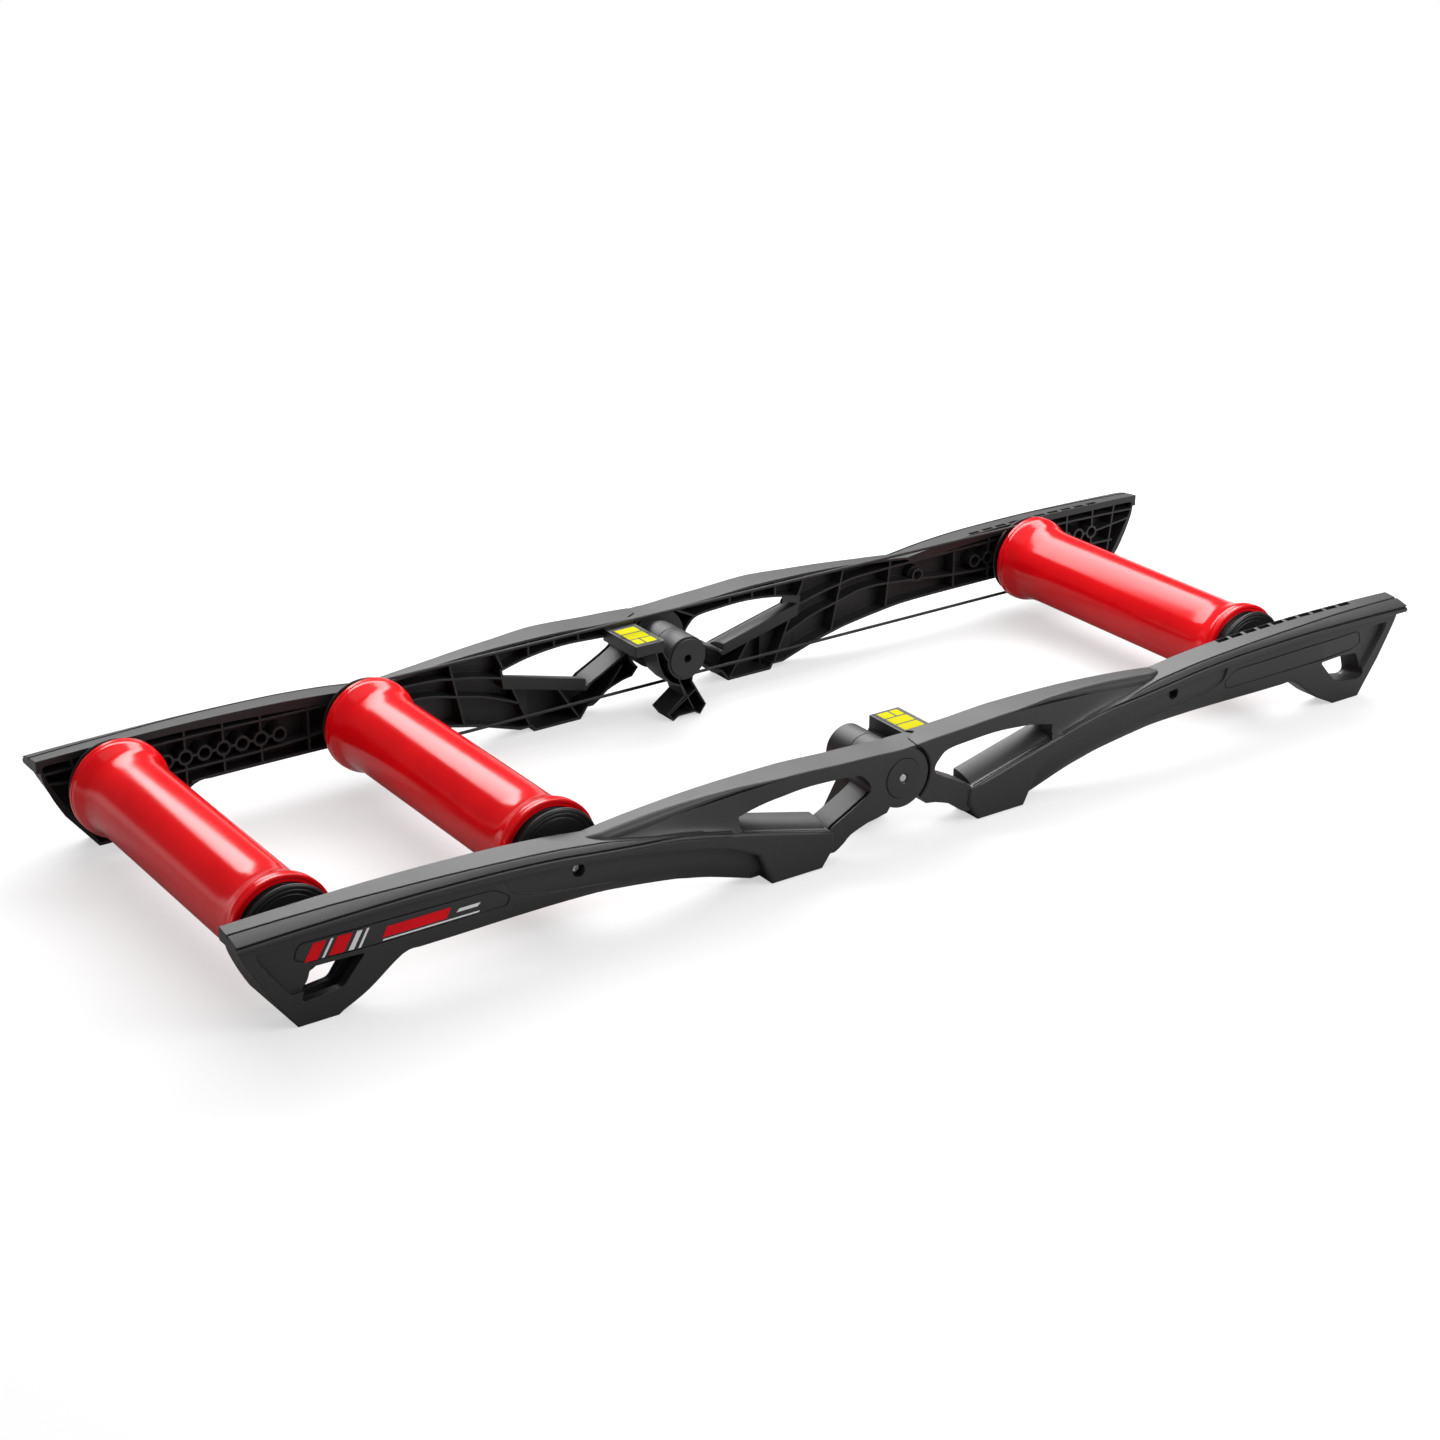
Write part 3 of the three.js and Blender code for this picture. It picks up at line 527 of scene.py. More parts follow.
def panel_groove():
    rim = offset(panel_outline, panel_line_half)
    ring = loft([
        [(u, skin_setback - overrun, z) for u, z in rim],
        [(u, skin_face(u, z) + panel_line_depth, z) for u, z in rim],
    ])
    return combined(ring, ("DIFFERENCE", [slab(offset(panel_outline, -panel_line_half), 0, 20)]))


end_flare = 4.5  # how far the end wall leans out towards the rollers
end_flare_top = 86  # height at which it is upright again
end_flare_from = 0.91 * rail_length
lower_round, foot_round, end_round = 2.4, 1.6, 1.0  # radii of the beam's outer edges


def beam():
    root = side_view(beam_root_shares)
    top = [(u, z - edge_drop - 1) for u, z in flange_top if root[0][0] < u < rail_length - 4]
    leg = smooth([*lower_edge[-7::6], *end_foot[:2]], 4)
    outline = [*top, *root, *lower_edge[:-7], *leg, *end_foot[2:], *end_face]
    radii = [soft_edge] * (len(top) + len(root)) + [lower_round] * (len(lower_edge) - 7 + len(leg))
    radii += [foot_round] * (len(end_foot) - 2) + [end_round] * len(end_face)
    flared = [
        (u + end_flare * math.sin(math.pi * min(z / end_flare_top, 1)) * (u > end_flare_from), z)
        for u, z in outline
    ]
    skin = slab(outline, skin_setback, rail_depth, radii, inner_outline=flared)
    return combined(skin, ("DIFFERENCE", [
        skin_cut(crown_cut_from, crown_cut_to, lambda along: 0),
        skin_step(hole_step_outline, hole_step_from, hole_step_end, hole_step_at),
        skin_step(scoop_outline, scoop_from, scoop_end, scoop_at),
        panel_groove(),
    ]))


arch_face = [  # u, depth at the top edge, depth at the foot, radius of the top edge
    (356, 34, 33.9, 0.4), (352, 30, 28, 1.0), (348, 23, 20, 2.5), (342, 17, 15, 5.0),
    (331, 12.6, 12, 7.5), (300, 11.5, 6, 9.0), (280, 11.3, 2.6, 9.0), (255, 11, 1.4, 7.5),
    (225, 10, 1.6, 5.5), (187, 8.2, 2.5, 3.2), (165, 5.4, 2.8, 2.0), (142, 2.9, 2.8, 1.2),
    (135, 2.77, 2.77, 1.2), (118, 2.86, 2.86, 1.2), (100, 2.88, 2.88, 1.2),
]
arch_from, arch_to = 355.5, 101  # its inner end is buried in the flat face round the hinge
arch_lip = 349.7  # past it the arch's top dives under the flange
arch_corner = 0.3
arch_root, arch_root_least = 11, 25  # depth of its hidden root under the ledge, and under its top
arch_root_from = 150
ledge_drop = 1.5
flat_from, flat_to = 134, 118  # along the rail, where the arch becomes the flat face round the hinge
flat_sink = 0.06  # how far its top lies under that face's
notch_small, notch_more = 1.0, 1.6  # step under the arch's top edge, and what it gains past the window
notch_begins, notch_grows, notch_fades = (134, 138), (140, 190), (200, 270)


def table_at(table, along, column):
    return height_at([(row[0], row[column]) for row in table], along)


def arch():
    rings = []
    for along in between(arch_from, arch_to, 84):
        top = height_at(arch_top, min(along, arch_lip)) - max(along - arch_lip, 0) * 0.5
        top -= flat_sink * (1 - ease(flat_to, flat_from, along))
        upper, lower, corner = (table_at(arch_face, along, column) for column in (1, 2, 3))
        ledge = height_at(flange_top, along) - edge_drop / rail_depth * (rail_depth - lower) - ledge_drop
        root = ledge - arch_root
        if along <= arch_root_from:
            root = max(root, top - arch_root_least)
        ring = [
            (rail_depth, root), (rail_depth, top - 1),
            (rail_depth - arch_corner, top - arch_corner), (rail_depth - 1, top),
        ]
        for k, angle in enumerate(between(0, math.pi / 2, 8)):
            ring.append((
                min(upper + corner * (1 - math.sin(angle)), rail_depth - 1.01 - 0.001 * k),
                top - corner * (1 - math.cos(angle)),
            ))
        face = top - corner
        notch = (notch_small + notch_more * ease(*notch_grows, along)) * ease(*notch_begins, along)
        notch *= 1 - ease(*notch_fades, along)
        ring[-1] = (ring[-1][0] + 0.02, ring[-1][1])
        ring += [(upper + notch, face - 0.05), (upper + notch, face - 0.05 - notch * 0.7)]
        face -= 0.1 + notch
        ring.append((upper, face))
        for t in between(0, 1, 6)[1:]:
            bulge = (1 - t) ** 0.45 * (1 - 0.15 * t)
            ring.append((lower + (upper - lower) * bulge, face + (ledge - face) * t))
        ring.append((lower, root))
        rings.append([(along, s, z) for s, z in ring])
    return loft(rings)


def around_hinge(radius, degrees):
    along, up = polar(radius, math.radians(degrees))
    return along, axle_height + up


knuckle_radius = 30.5
socket_gap = 3
knuckle_tip_angle, socket_tip_angle = -61, -49  # lower corners beside the hinge, in degrees
knuckle_arc = [94 + 4 * i for i in range(52)]  # its round end, in degrees
face_corner = 45  # height of the flat face's last corner, which lies in the window
hinge_round = 0.8  # of its inner edges


def hinge_tip(is_knuckle):
    tip = side_view(strut_tip_shares)
    if is_knuckle:
        return [(0, axle_height), around_hinge(knuckle_radius - overrun, knuckle_tip_angle), *tip]
    return [(0, axle_height), around_hinge(knuckle_radius + socket_gap, socket_tip_angle), tip[1]]


def hinge_end(is_knuckle):
    near = [(u, z) for u, z in arch_top if u < flat_from]
    tip = hinge_tip(is_knuckle)
    if is_knuckle:
        tip = [*(around_hinge(knuckle_radius, angle) for angle in knuckle_arc), *tip[2:]]
    foot = smooth(side_view(strut_foot_shares)[::-1], 3)
    outline = [*near, *tip, *foot, (near[0][0], face_corner)]
    return slab(outline, hinge_setback, rail_depth, soft_edge, hinge_round)


rib_outer = 3.2  # depth at which the ribs start


def rib(chain, inner=rail_depth + overrun, thickness=rib_thickness):
    line = smooth(chain, 4) if len(chain) > 2 else chain
    sides = []
    for way in (1, -1):
        row = []
        for i, (u, z) in enumerate(line):
            before, after = line[max(i - 1, 0)], line[min(i + 1, len(line) - 1)]
            along = (Vector(after) - Vector(before)).normalized() * thickness / 2
            row.append((u + way * along.y, z - way * along.x))
        sides.append(row)
    return slab([*sides[0], *sides[1][::-1]], rib_outer, inner)


fixed_hole = 359
holes = [443.7 + 20 * k for k in range(10)]
socket_radius, socket_wall = 5.5, 2.5
socket_floor, fixed_socket_floor = 15.5, 22
fixed_boss_radius, fixed_boss_depth = 9.5, 28.3
bolt_web = 3.2  # wall between the fixed hole's socket and its outer counterbore
bolt_hole_radius, counterbore_radius = 3.4, 6.4
window_wall = 2.4
beam_pocket_floor, arch_pocket_floor = 16.6, 17.2
beam_pocket_start, arch_pocket_start, arch_pocket_end = 150, 195, 355
hole_rib_foot, hole_rib_drop = 38, 7  # ribs through every second hole: foot's height, top under the flange


# The window near the end leans inwards, at its inner edge on a rear half and its outer one on a front half
end_windows = {
    -1: [(634, 22.5), (631.2, 33.4), (625.7, 40.5), (622.5, 51.8), (572, 52), (587.1, 34.9), (594, 26)],
    1: [(574.4, 53.2), (605, 53.2), (632.5, 50.5), (638.5, 39), (643, 24.5), (635.4, 20.5), (600, 26),
        (586.5, 39.6)],
}
end_window_round = 4
end_window_length = 62
end_window_lean = 6
lean_start = 11  # depth at which the lean starts


def end_window(end, grow=0):
    pivot = end_windows[end][0][0]
    outline = offset(rounded_outline(end_windows[end], end_window_round), grow)
    rings = []
    for depth in (-overrun, lean_start, rail_depth, rail_depth + overrun):
        share = max(depth - lean_start, 0) / (rail_depth - lean_start)
        lean = 1 - end_window_lean / end_window_length * share
        rings.append([(pivot + (u - pivot) * lean, depth, z) for u, z in outline])
    return loft(rings)


recess_aside, recess_down = 2, 7  # how far the hollow lies from the window
recess_outer, recess_inner = 17.5, 28


def end_recess(grow=0):
    """Hollow behind the sill of a rear half's window near the end."""
    window_line = rounded_outline(end_windows[-1], end_window_round)
    outline = offset([(u + recess_aside, z - recess_down) for u, z in window_line], grow)
    return slab(outline, recess_outer - grow, recess_inner + grow)


def rib_field(end):
    chains = [side_view(shares) for shares in rib_chain_shares]
    chains.append([(holes[0], axle_height), (holes[-1], axle_height)])
    for u in holes[1::2]:
        chains.append([(u, hole_rib_foot), (u, height_at(flange_top, u) - hole_rib_drop)])
    walls = [rib(chain) for chain in chains]
    through = rail_depth + overrun
    rings = [
        disc(u, axle_height, socket_radius + socket_wall, rib_outer, through, 32)
        for u in (fixed_hole, *holes)
    ]
    high = beam_height + overrun
    kept = [
        slab(rectangle(beam_pocket_start, rail_length, 0, high), 0, beam_pocket_floor),
        slab(rectangle(arch_pocket_start, arch_pocket_end, 0, high), 0, arch_pocket_floor),
        disc(fixed_hole, axle_height, fixed_boss_radius, 0, fixed_boss_depth, 48),
        disc(0, axle_height, knuckle_radius + socket_gap + wall, 0, through),
        slab(offset(smooth_window, window_wall), 0, through),
        end_window(end, window_wall),
    ]
    return combined(walls[0], ("UNION", [*walls[1:], *rings, *kept]))


window = side_view(window_shares)
smooth_window = [window[0], *smooth(window[1:10], 4), window[10]]
strut_recess_drop = 9
strut_recess = [(u, z - strut_recess_drop) for u, z in smooth_window]
strut_recess_outer, strut_recess_inner = 4, 7.5

step_start, step_end = 28, 64
step_height, step_thickness = 95, 13
step_root = 31  # how deep in the rail the block is rooted
step_round = 1.5
hinge_pocket_floor = 6.2
recess_wall = 2


def pocket(is_knuckle, field, end):
    under = [(u, z + wall) for u, z in flange_foot if nose < u < rail_length - wall]
    near_arch = [(u, z) for u, z in arch_top if u < nose - 3]
    foot = smooth(side_view(strut_foot_shares[1:])[::-1], 3)
    outline = [
        *under, *near_arch, *hinge_tip(is_knuckle), *foot, *side_view(mid_foot_shares[2:]),
        *lower_edge, *end_foot, *end_face,
    ]
    inside = slab(offset(outline, -wall), hinge_pocket_floor, rail_depth + overrun)
    kept = [field, slab(offset(strut_recess, recess_wall), 0, strut_recess_inner + recess_wall)]
    if end < 0:
        kept.append(end_recess(recess_wall))
    if not is_knuckle:
        block = rectangle(step_start, step_end, step_height - step_thickness, beam_height)
        kept.append(slab(block, 0, rail_depth + overrun))
    return combined(inside, ("DIFFERENCE", kept))


slot_half, slot_height = 7.7, 7.3
slot_depth, slot_rim = 6.9, 1.0  # from the flange's inner edge to the slot's two sides


def hole_cuts(has_slots):
    cuts = [disc(u, axle_height, socket_radius, socket_floor, rail_depth + overrun, 32) for u in holes]
    for radius, outer, inner, sides in (
        (socket_radius, fixed_socket_floor, rail_depth + overrun, 32),
        (bolt_hole_radius, 0, fixed_socket_floor + overrun, 48),
        (counterbore_radius, 0, fixed_socket_floor - bolt_web, 48),
    ):
        cuts.append(disc(fixed_hole, axle_height, radius, outer, inner, sides))
    for u in holes if has_slots else []:
        top = height_at(flange_top, u)
        slot = rectangle(u - slot_half, u + slot_half, top - slot_height, top + overrun)
        cuts.append(slab(slot, rail_depth - slot_depth, rail_depth - slot_rim))
    return cuts


tongue_plan = [(0, 34.3), (26, 34.3), (31, 28), (17.5, 20), (15, 4), (0, 3)]  # past the hinge axis, depth
tongue_thickness = 4.6


def plan_sheet(outline, low, high):
    return loft([[(u, s, z) for u, s in outline] for z in (low, high)])


def tongue(way, gap):
    """Flat tongue over the seam."""
    top = arch_top[-1][1]
    outline = [(way * past, depth) for past, depth in tongue_plan]
    if gap > 0:
        outline = offset(outline, gap)
    return plan_sheet(outline, top - tongue_thickness - gap, top + (overrun if gap > 0 else 0))


barrel_radius = 24
barrel_split = 63.5  # joint between the two barrels
barrel_end = 96
barrel_step, barrel_step_inset = 2, 2.5  # smaller disc on the barrel's end
pin_radius = 4
cover_radius, cover_seat = 20, 5


def with_knuckle(rail):
    return combined(
        rail,
        ("UNION", [
            disc(0, axle_height, barrel_radius, rail_depth - overrun, barrel_split, 96, 0, 0.3),
            tongue(-1, 0),
        ]),
        ("DIFFERENCE", [
            disc(0, axle_height, cover_radius + fit, 0, cover_seat, 96),
            disc(0, axle_height, pin_radius + fit, 0, barrel_split + overrun, 48),
        ]),
    )


web_shares = [
    (0.63, 1.28), (0.56, 0.99), (0.47, 0.79), (0.32, 0.64), (0.12, 0.55), (0.05, 0.38), (0.39, 0.15),
    (0.27, 0.00), (0.16, 0.06), (-0.16, 0.06), (-0.27, 0.00), (-0.39, 0.15), (-0.11, 0.60),
    (-0.14, 0.74), (0.00, 0.90), (0.38, 1.06), (0.50, 1.28),
]
web_rib_shares = [[(0.33, 0.13), (-0.19, 0.45)], [(-0.14, 0.12), (0.17, 0.70)]]
web_wall, web_rib_thickness, web_round = 1.6, 1.2, 1.0
label_margin, label_thickness = 3.5, 0.6
label_outer, label_inner = 41.5, 91.5
gap_flare = 2.2  # how much wider the gap round the knuckle is at the face
gap_flare_outer, gap_flare_inner = hinge_setback - 1, hinge_setback + 1.2


def web_view(shares):
    return [(along * step_end, up * axle_height) for along, up in shares]


def with_socket(rail):
    split = barrel_split + running_gap
    face = barrel_end - barrel_step
    outline = web_view(web_shares)
    web_kept = [
        disc(0, axle_height, barrel_radius, split, face + overrun),
        slab(rectangle(0, step_end, step_height - step_thickness, step_height), split, face + overrun),
        *(rib(web_view(shares), face + overrun, web_rib_thickness) for shares in web_rib_shares),
    ]
    hollow = slab(offset(outline, -web_wall), split + wall, face + overrun)
    hollow = combined(hollow, ("DIFFERENCE", web_kept))
    web = combined(slab(outline, split, face, web_round), ("DIFFERENCE", [hollow]))
    block = rectangle(step_start, step_end, step_height - step_thickness, step_height)
    step = slab(block, step_root, face, 0, step_round)
    margin = label_margin - fit
    seat = slab(
        rectangle(step_start + margin, step_end - margin, step_height - label_thickness, beam_height),
        label_outer - fit, label_inner + fit,
    )
    return combined(
        rail,
        ("UNION", [step]),
        ("DIFFERENCE", [
            disc(0, axle_height, knuckle_radius + socket_gap, -overrun, rail_depth + running_gap, 96),
            loft([
                [(u, s, z) for u, z in circle(0, axle_height, knuckle_radius + socket_gap + reach, 96)]
                for reach, s in ((gap_flare, gap_flare_outer), (0.01, gap_flare_inner))
            ]),
            tongue(1, running_gap),
        ]),
        ("UNION", [
            web,
            disc(0, axle_height, barrel_radius, split, face, 96, 0.3, 1.0),
            disc(0, axle_height, barrel_radius - barrel_step_inset, face - overrun, barrel_end, 96, 0, 0.8),
        ]),
        ("DIFFERENCE", [seat, disc(0, axle_height, pin_radius + fit, 0, barrel_end + overrun, 48)]),
    )


def finished(name, mesh, place, sharp=40):
    """Maps a mesh from millimetres into the frame, and smooths it up to an angle between faces."""
    shell = bmesh.new()
    shell.from_mesh(mesh)
    for vert in shell.verts:
        vert.co = place(vert.co) / 1000
    bmesh.ops.remove_doubles(shell, verts=shell.verts, dist=1e-6)
    bmesh.ops.recalc_face_normals(shell, faces=shell.faces)
    for face in shell.faces:
        face.smooth = True
    for edge in shell.edges:
        edge.smooth = edge.is_manifold and edge.calc_face_angle(0) < math.radians(sharp)
    piece = bpy.data.objects.new(name, mesh_of(shell, name))
    bpy.context.scene.collection.objects.link(piece)
    weighted = piece.modifiers.new("weighted_normals", "WEIGHTED_NORMAL")
    weighted.keep_sharp = True
    return piece


def on_side(end, hand):
    return lambda point: Vector((end * point.x, hand * (half_width - point.y), point.z))


def node_group(name, inputs, outputs):
    tree = bpy.data.node_groups.new(name, "ShaderNodeTree")
    for label, kind, value in inputs:
        socket = tree.interface.new_socket(label, in_out="INPUT", socket_type=kind)
        if value is not None:
            socket.default_value = value
    for label, kind in outputs:
        tree.interface.new_socket(label, in_out="OUTPUT", socket_type=kind)
    return tree, tree.nodes.new("NodeGroupInput"), tree.nodes.new("NodeGroupOutput")


def add_node(tree, kind, second=None, **values):
    """A node with its settings and sockets by name; second is a Math node's second value."""
    node = tree.nodes.new(kind)
    for key, value in values.items():
        label = key.replace("_", " ")
        if label in node.inputs.keys():
            node.inputs[label].default_value = value
        else:
            setattr(node, key, value)
    if second is not None:
        node.inputs[1].default_value = second
    return node


def wire(tree, *links):
    """Joins sockets; each link is a node, its output, the next node and its input."""
    for source, output, target, entry in links:
        tree.links.new(source.outputs[output], target.inputs[entry])


# Grain shared by all the mouldings: a fine bump, slow drifts of shade and gloss, and long scuffs
grain_tree, grain_in, grain_out = node_group(
    "moulded_grain",
    [
        ("Base", "NodeSocketColor", (0.02, 0.02, 0.02, 1)), ("Gloss", "NodeSocketFloat", 0.4),
        ("Grain", "NodeSocketFloat", 900.0), ("Relief", "NodeSocketFloat", 0.15),
        ("Scuffs", "NodeSocketFloat", 0.5), ("Normal", "NodeSocketVector", None),
    ],
    [("Color", "NodeSocketColor"), ("Roughness", "NodeSocketFloat"), ("Normal", "NodeSocketVector")],
)
place = add_node(grain_tree, "ShaderNodeTexCoord")
fine = add_node(grain_tree, "ShaderNodeTexNoise", Detail=3.0, Roughness=0.6)
drift = add_node(grain_tree, "ShaderNodeTexNoise", Scale=9.0, Detail=4.0, Roughness=0.6)
stretch = add_node(grain_tree, "ShaderNodeMapping", Scale=(14.0, 14.0, 120.0))
scuff = add_node(grain_tree, "ShaderNodeTexNoise", Scale=1.0, Detail=6.0, Roughness=0.7)
scuff_mask = add_node(grain_tree, "ShaderNodeMapRange", From_Min=0.58, From_Max=0.78)
scuff_amount = add_node(grain_tree, "ShaderNodeMath", operation="MULTIPLY")
shade = add_node(grain_tree, "ShaderNodeMapRange", To_Min=0.72, To_Max=1.28)
shade_scuffed = add_node(grain_tree, "ShaderNodeMath", 0.6, operation="MULTIPLY_ADD")
shaded = add_node(grain_tree, "ShaderNodeVectorMath", operation="SCALE")
rough = add_node(grain_tree, "ShaderNodeMapRange", To_Min=-0.05, To_Max=0.05)
rough_sum = add_node(grain_tree, "ShaderNodeMath", operation="ADD")
rough_scuffed = add_node(grain_tree, "ShaderNodeMath", 0.12, operation="MULTIPLY_ADD")
bump = add_node(grain_tree, "ShaderNodeBump", Distance=0.0002)
wire(
    grain_tree,
    (place, "Object", fine, "Vector"), (place, "Object", drift, "Vector"),
    (place, "Object", stretch, "Vector"), (stretch, "Vector", scuff, "Vector"),
    (grain_in, "Grain", fine, "Scale"), (scuff, "Fac", scuff_mask, "Value"),
    (scuff_mask, "Result", scuff_amount, 0), (grain_in, "Scuffs", scuff_amount, 1),
    (drift, "Fac", shade, "Value"), (scuff_amount, "Value", shade_scuffed, 0),
    (shade, "Result", shade_scuffed, 2), (grain_in, "Base", shaded, "Vector"),
    (shade_scuffed, "Value", shaded, "Scale"), (shaded, "Vector", grain_out, "Color"),
    (drift, "Fac", rough, "Value"), (rough, "Result", rough_sum, 0), (grain_in, "Gloss", rough_sum, 1),
    (scuff_amount, "Value", rough_scuffed, 0), (rough_sum, "Value", rough_scuffed, 2),
    (rough_scuffed, "Value", grain_out, "Roughness"), (fine, "Fac", bump, "Height"),
    (grain_in, "Relief", bump, "Strength"), (grain_in, "Normal", bump, "Normal"),
    (bump, "Normal", grain_out, "Normal"),
)


def grained(name, base, gloss, grain=900.0, relief=0.15, scuffs=0.5, edge=0.0006, **shader_values):
    """A material with the shared grain; edge is the radius at which its corners are softened, if any."""
    material = bpy.data.materials.new(name)
    material.use_nodes = True
    tree = material.node_tree
    shader = tree.nodes["Principled BSDF"]
    group = add_node(
        tree, "ShaderNodeGroup", node_tree=grain_tree,
        Base=(*base, 1), Gloss=gloss, Grain=grain, Relief=relief, Scuffs=scuffs,
    )
    if edge > 0:
        corner = add_node(tree, "ShaderNodeBevel", samples=4, Radius=edge)
        wire(tree, (corner, "Normal", group, "Normal"))
    wire(
        tree, (group, "Color", shader, "Base Color"), (group, "Roughness", shader, "Roughness"),
        (group, "Normal", shader, "Normal"),
    )
    for key, value in shader_values.items():
        shader.inputs[key.replace("_", " ")].default_value = value
    return material


black_nylon = grained("black_nylon", (0.010, 0.010, 0.0104), 0.48, edge=0.0008, Specular_IOR_Level=0.7)

skin = beam()
fields = {end: rib_field(end) for end in (-1, 1)}
for name, end, hand, is_knuckle in (
    ("rear_rail_right", -1, -1, True), ("front_rail_right", 1, -1, False),
    ("front_rail_left", 1, 1, True), ("rear_rail_left", -1, 1, False),
):
    windows = [
        slab(smooth_window, -overrun, rail_depth + overrun),
        slab(strut_recess, strut_recess_outer, strut_recess_inner), end_window(end),
    ]
    if end < 0:
        windows.append(end_recess())
    rail = combined(
        skin,
        ("UNION", [hinge_end(is_knuckle), arch()]),
        ("DIFFERENCE", windows),
        ("UNION", [outer_band(), flange(), cove()]),
        ("DIFFERENCE", [sill_groove(), pocket(is_knuckle, fields[end], end), *hole_cuts(end > 0)]),
    )
    rail = with_knuckle(rail) if is_knuckle else with_socket(rail)
    piece = finished(name + "_moulding", rail, on_side(end, hand))
    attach(piece, "front_frame" if end > 0 else "rear_frame")
    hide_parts(name)
    piece.data.materials.clear()
    piece.data.materials.append(black_nylon)

# Side graphics
# A plain printed design in red and white on the panel of the rear right half, a film on the skin.
red_print = grained(
    "red_print", (0.72, 0.004, 0.01), 0.4, relief=0.05, scuffs=0.3, edge=0.0001, Specular_IOR_Level=0.15,
)
white_print = grained(
    "white_print", (0.78, 0.78, 0.78), 0.4, relief=0.05, scuffs=0.3, edge=0.0001, Specular_IOR_Level=0.2,
)
film = 0.25
film_root = 0.4  # how deep the film reaches into the skin
lean = 9  # how far a bar's top stands ahead of its foot
bar_spacing = 4  # between a bar's points, so that it follows the skin


def gathered(name, meshes):
    """One mesh that holds several."""
    sheet = bmesh.new()
    for mesh in meshes:
        sheet.from_mesh(mesh)
    return mesh_of(sheet, name)


def print_bar(start, end, low, high, tilt):
    spans = max(2, round(abs(end - start) / bar_spacing))
    foot = [(u, low) for u in between(start, end, spans)]
    outline = foot + [(u - tilt, high) for u, _ in foot[::-1]]
    return loft([[(u, skin_face(u, z) + depth, z) for u, z in outline] for depth in (-film, film_root)])


for name, ink, bars in (
    ("side_print_red", red_print, [
        (628, 616, 57.5, 73.5, lean), (606, 592, 58, 74, lean), (556, 494, 61, 70.5, 5),
    ]),
    ("side_print_white", white_print, [
        (612, 609.5, 57.7, 73.7, lean), (588, 583, 58, 74.2, lean), (579, 576.5, 58, 74.3, lean),
        (556, 462, 58, 59.4, 1), (484, 463, 64, 67, 3),
    ]),
):
    piece = finished(name, gathered(name, [print_bar(*bar) for bar in bars]), on_side(-1, -1))
    piece.data.materials.append(ink)
    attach(piece, "rear_frame")

# Turned pieces of the hinges
# A steel pin through both barrels of each hinge, and a smooth plastic disc pressed in round its end.


def turned(profile, sides=96):
    """A body of revolution about the y axis, from [radius, distance along the axis] pairs."""
    shell = bmesh.new()
    rows = []
    for radius, across in profile:
        if radius < 1e-6:
            rows.append([shell.verts.new((0, across, 0))])
            continue
        rows.append([shell.verts.new((x, across, z)) for x, z in points_round(radius, sides)])
    solid_core = any(radius < 1e-6 for radius, _ in profile)
    pairs = list(zip(rows, rows[1:]))
    if not solid_core:
        pairs.append((rows[-1], rows[0]))
    for low, high in pairs:
        for i in range(sides):
            j = (i + 1) % sides
            corners = [low[i % len(low)], low[j % len(low)], high[j % len(high)], high[i % len(high)]]
            shell.faces.new(list(dict.fromkeys(corners)))
    bmesh.ops.recalc_face_normals(shell, faces=shell.faces)
    return mesh_of(shell, "turned")


def on_axis(along, way=1):
    return lambda point: Vector((along + point.x, way * point.y, axle_height + point.z))


def add_turned(name, node, body, material, mesh, along, way=1):
    piece = finished(name, mesh, on_axis(along, way), 30)
    piece.data.materials.append(material)
    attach(piece, body)
    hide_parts(node)
    return piece


bright_steel = grained(
    "bright_steel", (0.62, 0.63, 0.65), 0.28, grain=2500.0, relief=0.06, scuffs=0.4, edge=0.0002,
    Metallic=1.0,
)
cover_plastic = grained(
    "cover_plastic", (0.016, 0.016, 0.0165), 0.34, grain=1400.0, relief=0.06, edge=0.0005,
)
pin_inner, pin_outer = half_width - 84, half_width - 3
cover_inner, cover_outer = half_width - 4.6, half_width - 2
cover_dish = 0.7  # how deep the cover's middle lies
for side, way, body in (("right", -1, "rear_frame"), ("left", 1, "front_frame")):
    pin = rounded([(0, pin_inner), (pin_radius, pin_inner), (pin_radius, pin_outer), (0, pin_outer)], 0.8)
    add_turned(
        f"hinge_pin_{side}_steel", f"hinge_pin_{side}", body, bright_steel, turned(pin, 48),
        0, way,
    )
    cover = rounded([
        (pin_radius + fit, cover_inner), (cover_radius, cover_inner), (cover_radius, cover_outer),
        (5.6, cover_outer), (4.9, cover_outer - cover_dish), (pin_radius + fit, cover_outer - cover_dish),
    ], 0.5)
    add_turned(
        f"hinge_cover_{side}_disc", f"hinge_cover_{side}", body, cover_plastic,
        turned(cover), 0, way,
    )

# Label plates
# A thin printed plate let into the top of each step block: plain yellow bars in a black border.
label_black = grained("label_black", (0.01, 0.01, 0.01), 0.35, relief=0.04, edge=0.0002)
label_yellow = grained(
    "label_yellow", (0.52, 0.48, 0.0), 0.8, relief=0.04, scuffs=0.3, edge=0.0001, Specular_IOR_Level=0.1,
)


def round_rectangle(left, right, bottom, top, radius, steps=4):
    corners = ((right - radius, top - radius, 0), (left + radius, top - radius, 1),
               (left + radius, bottom + radius, 2), (right - radius, bottom + radius, 3))
    outline = []
    for x, z, turn in corners:
        for angle in between(math.pi / 2 * turn, math.pi / 2 * (turn + 1), steps):
            across, up = polar(radius, angle)
            outline.append((x + across, z + up))
    return outline


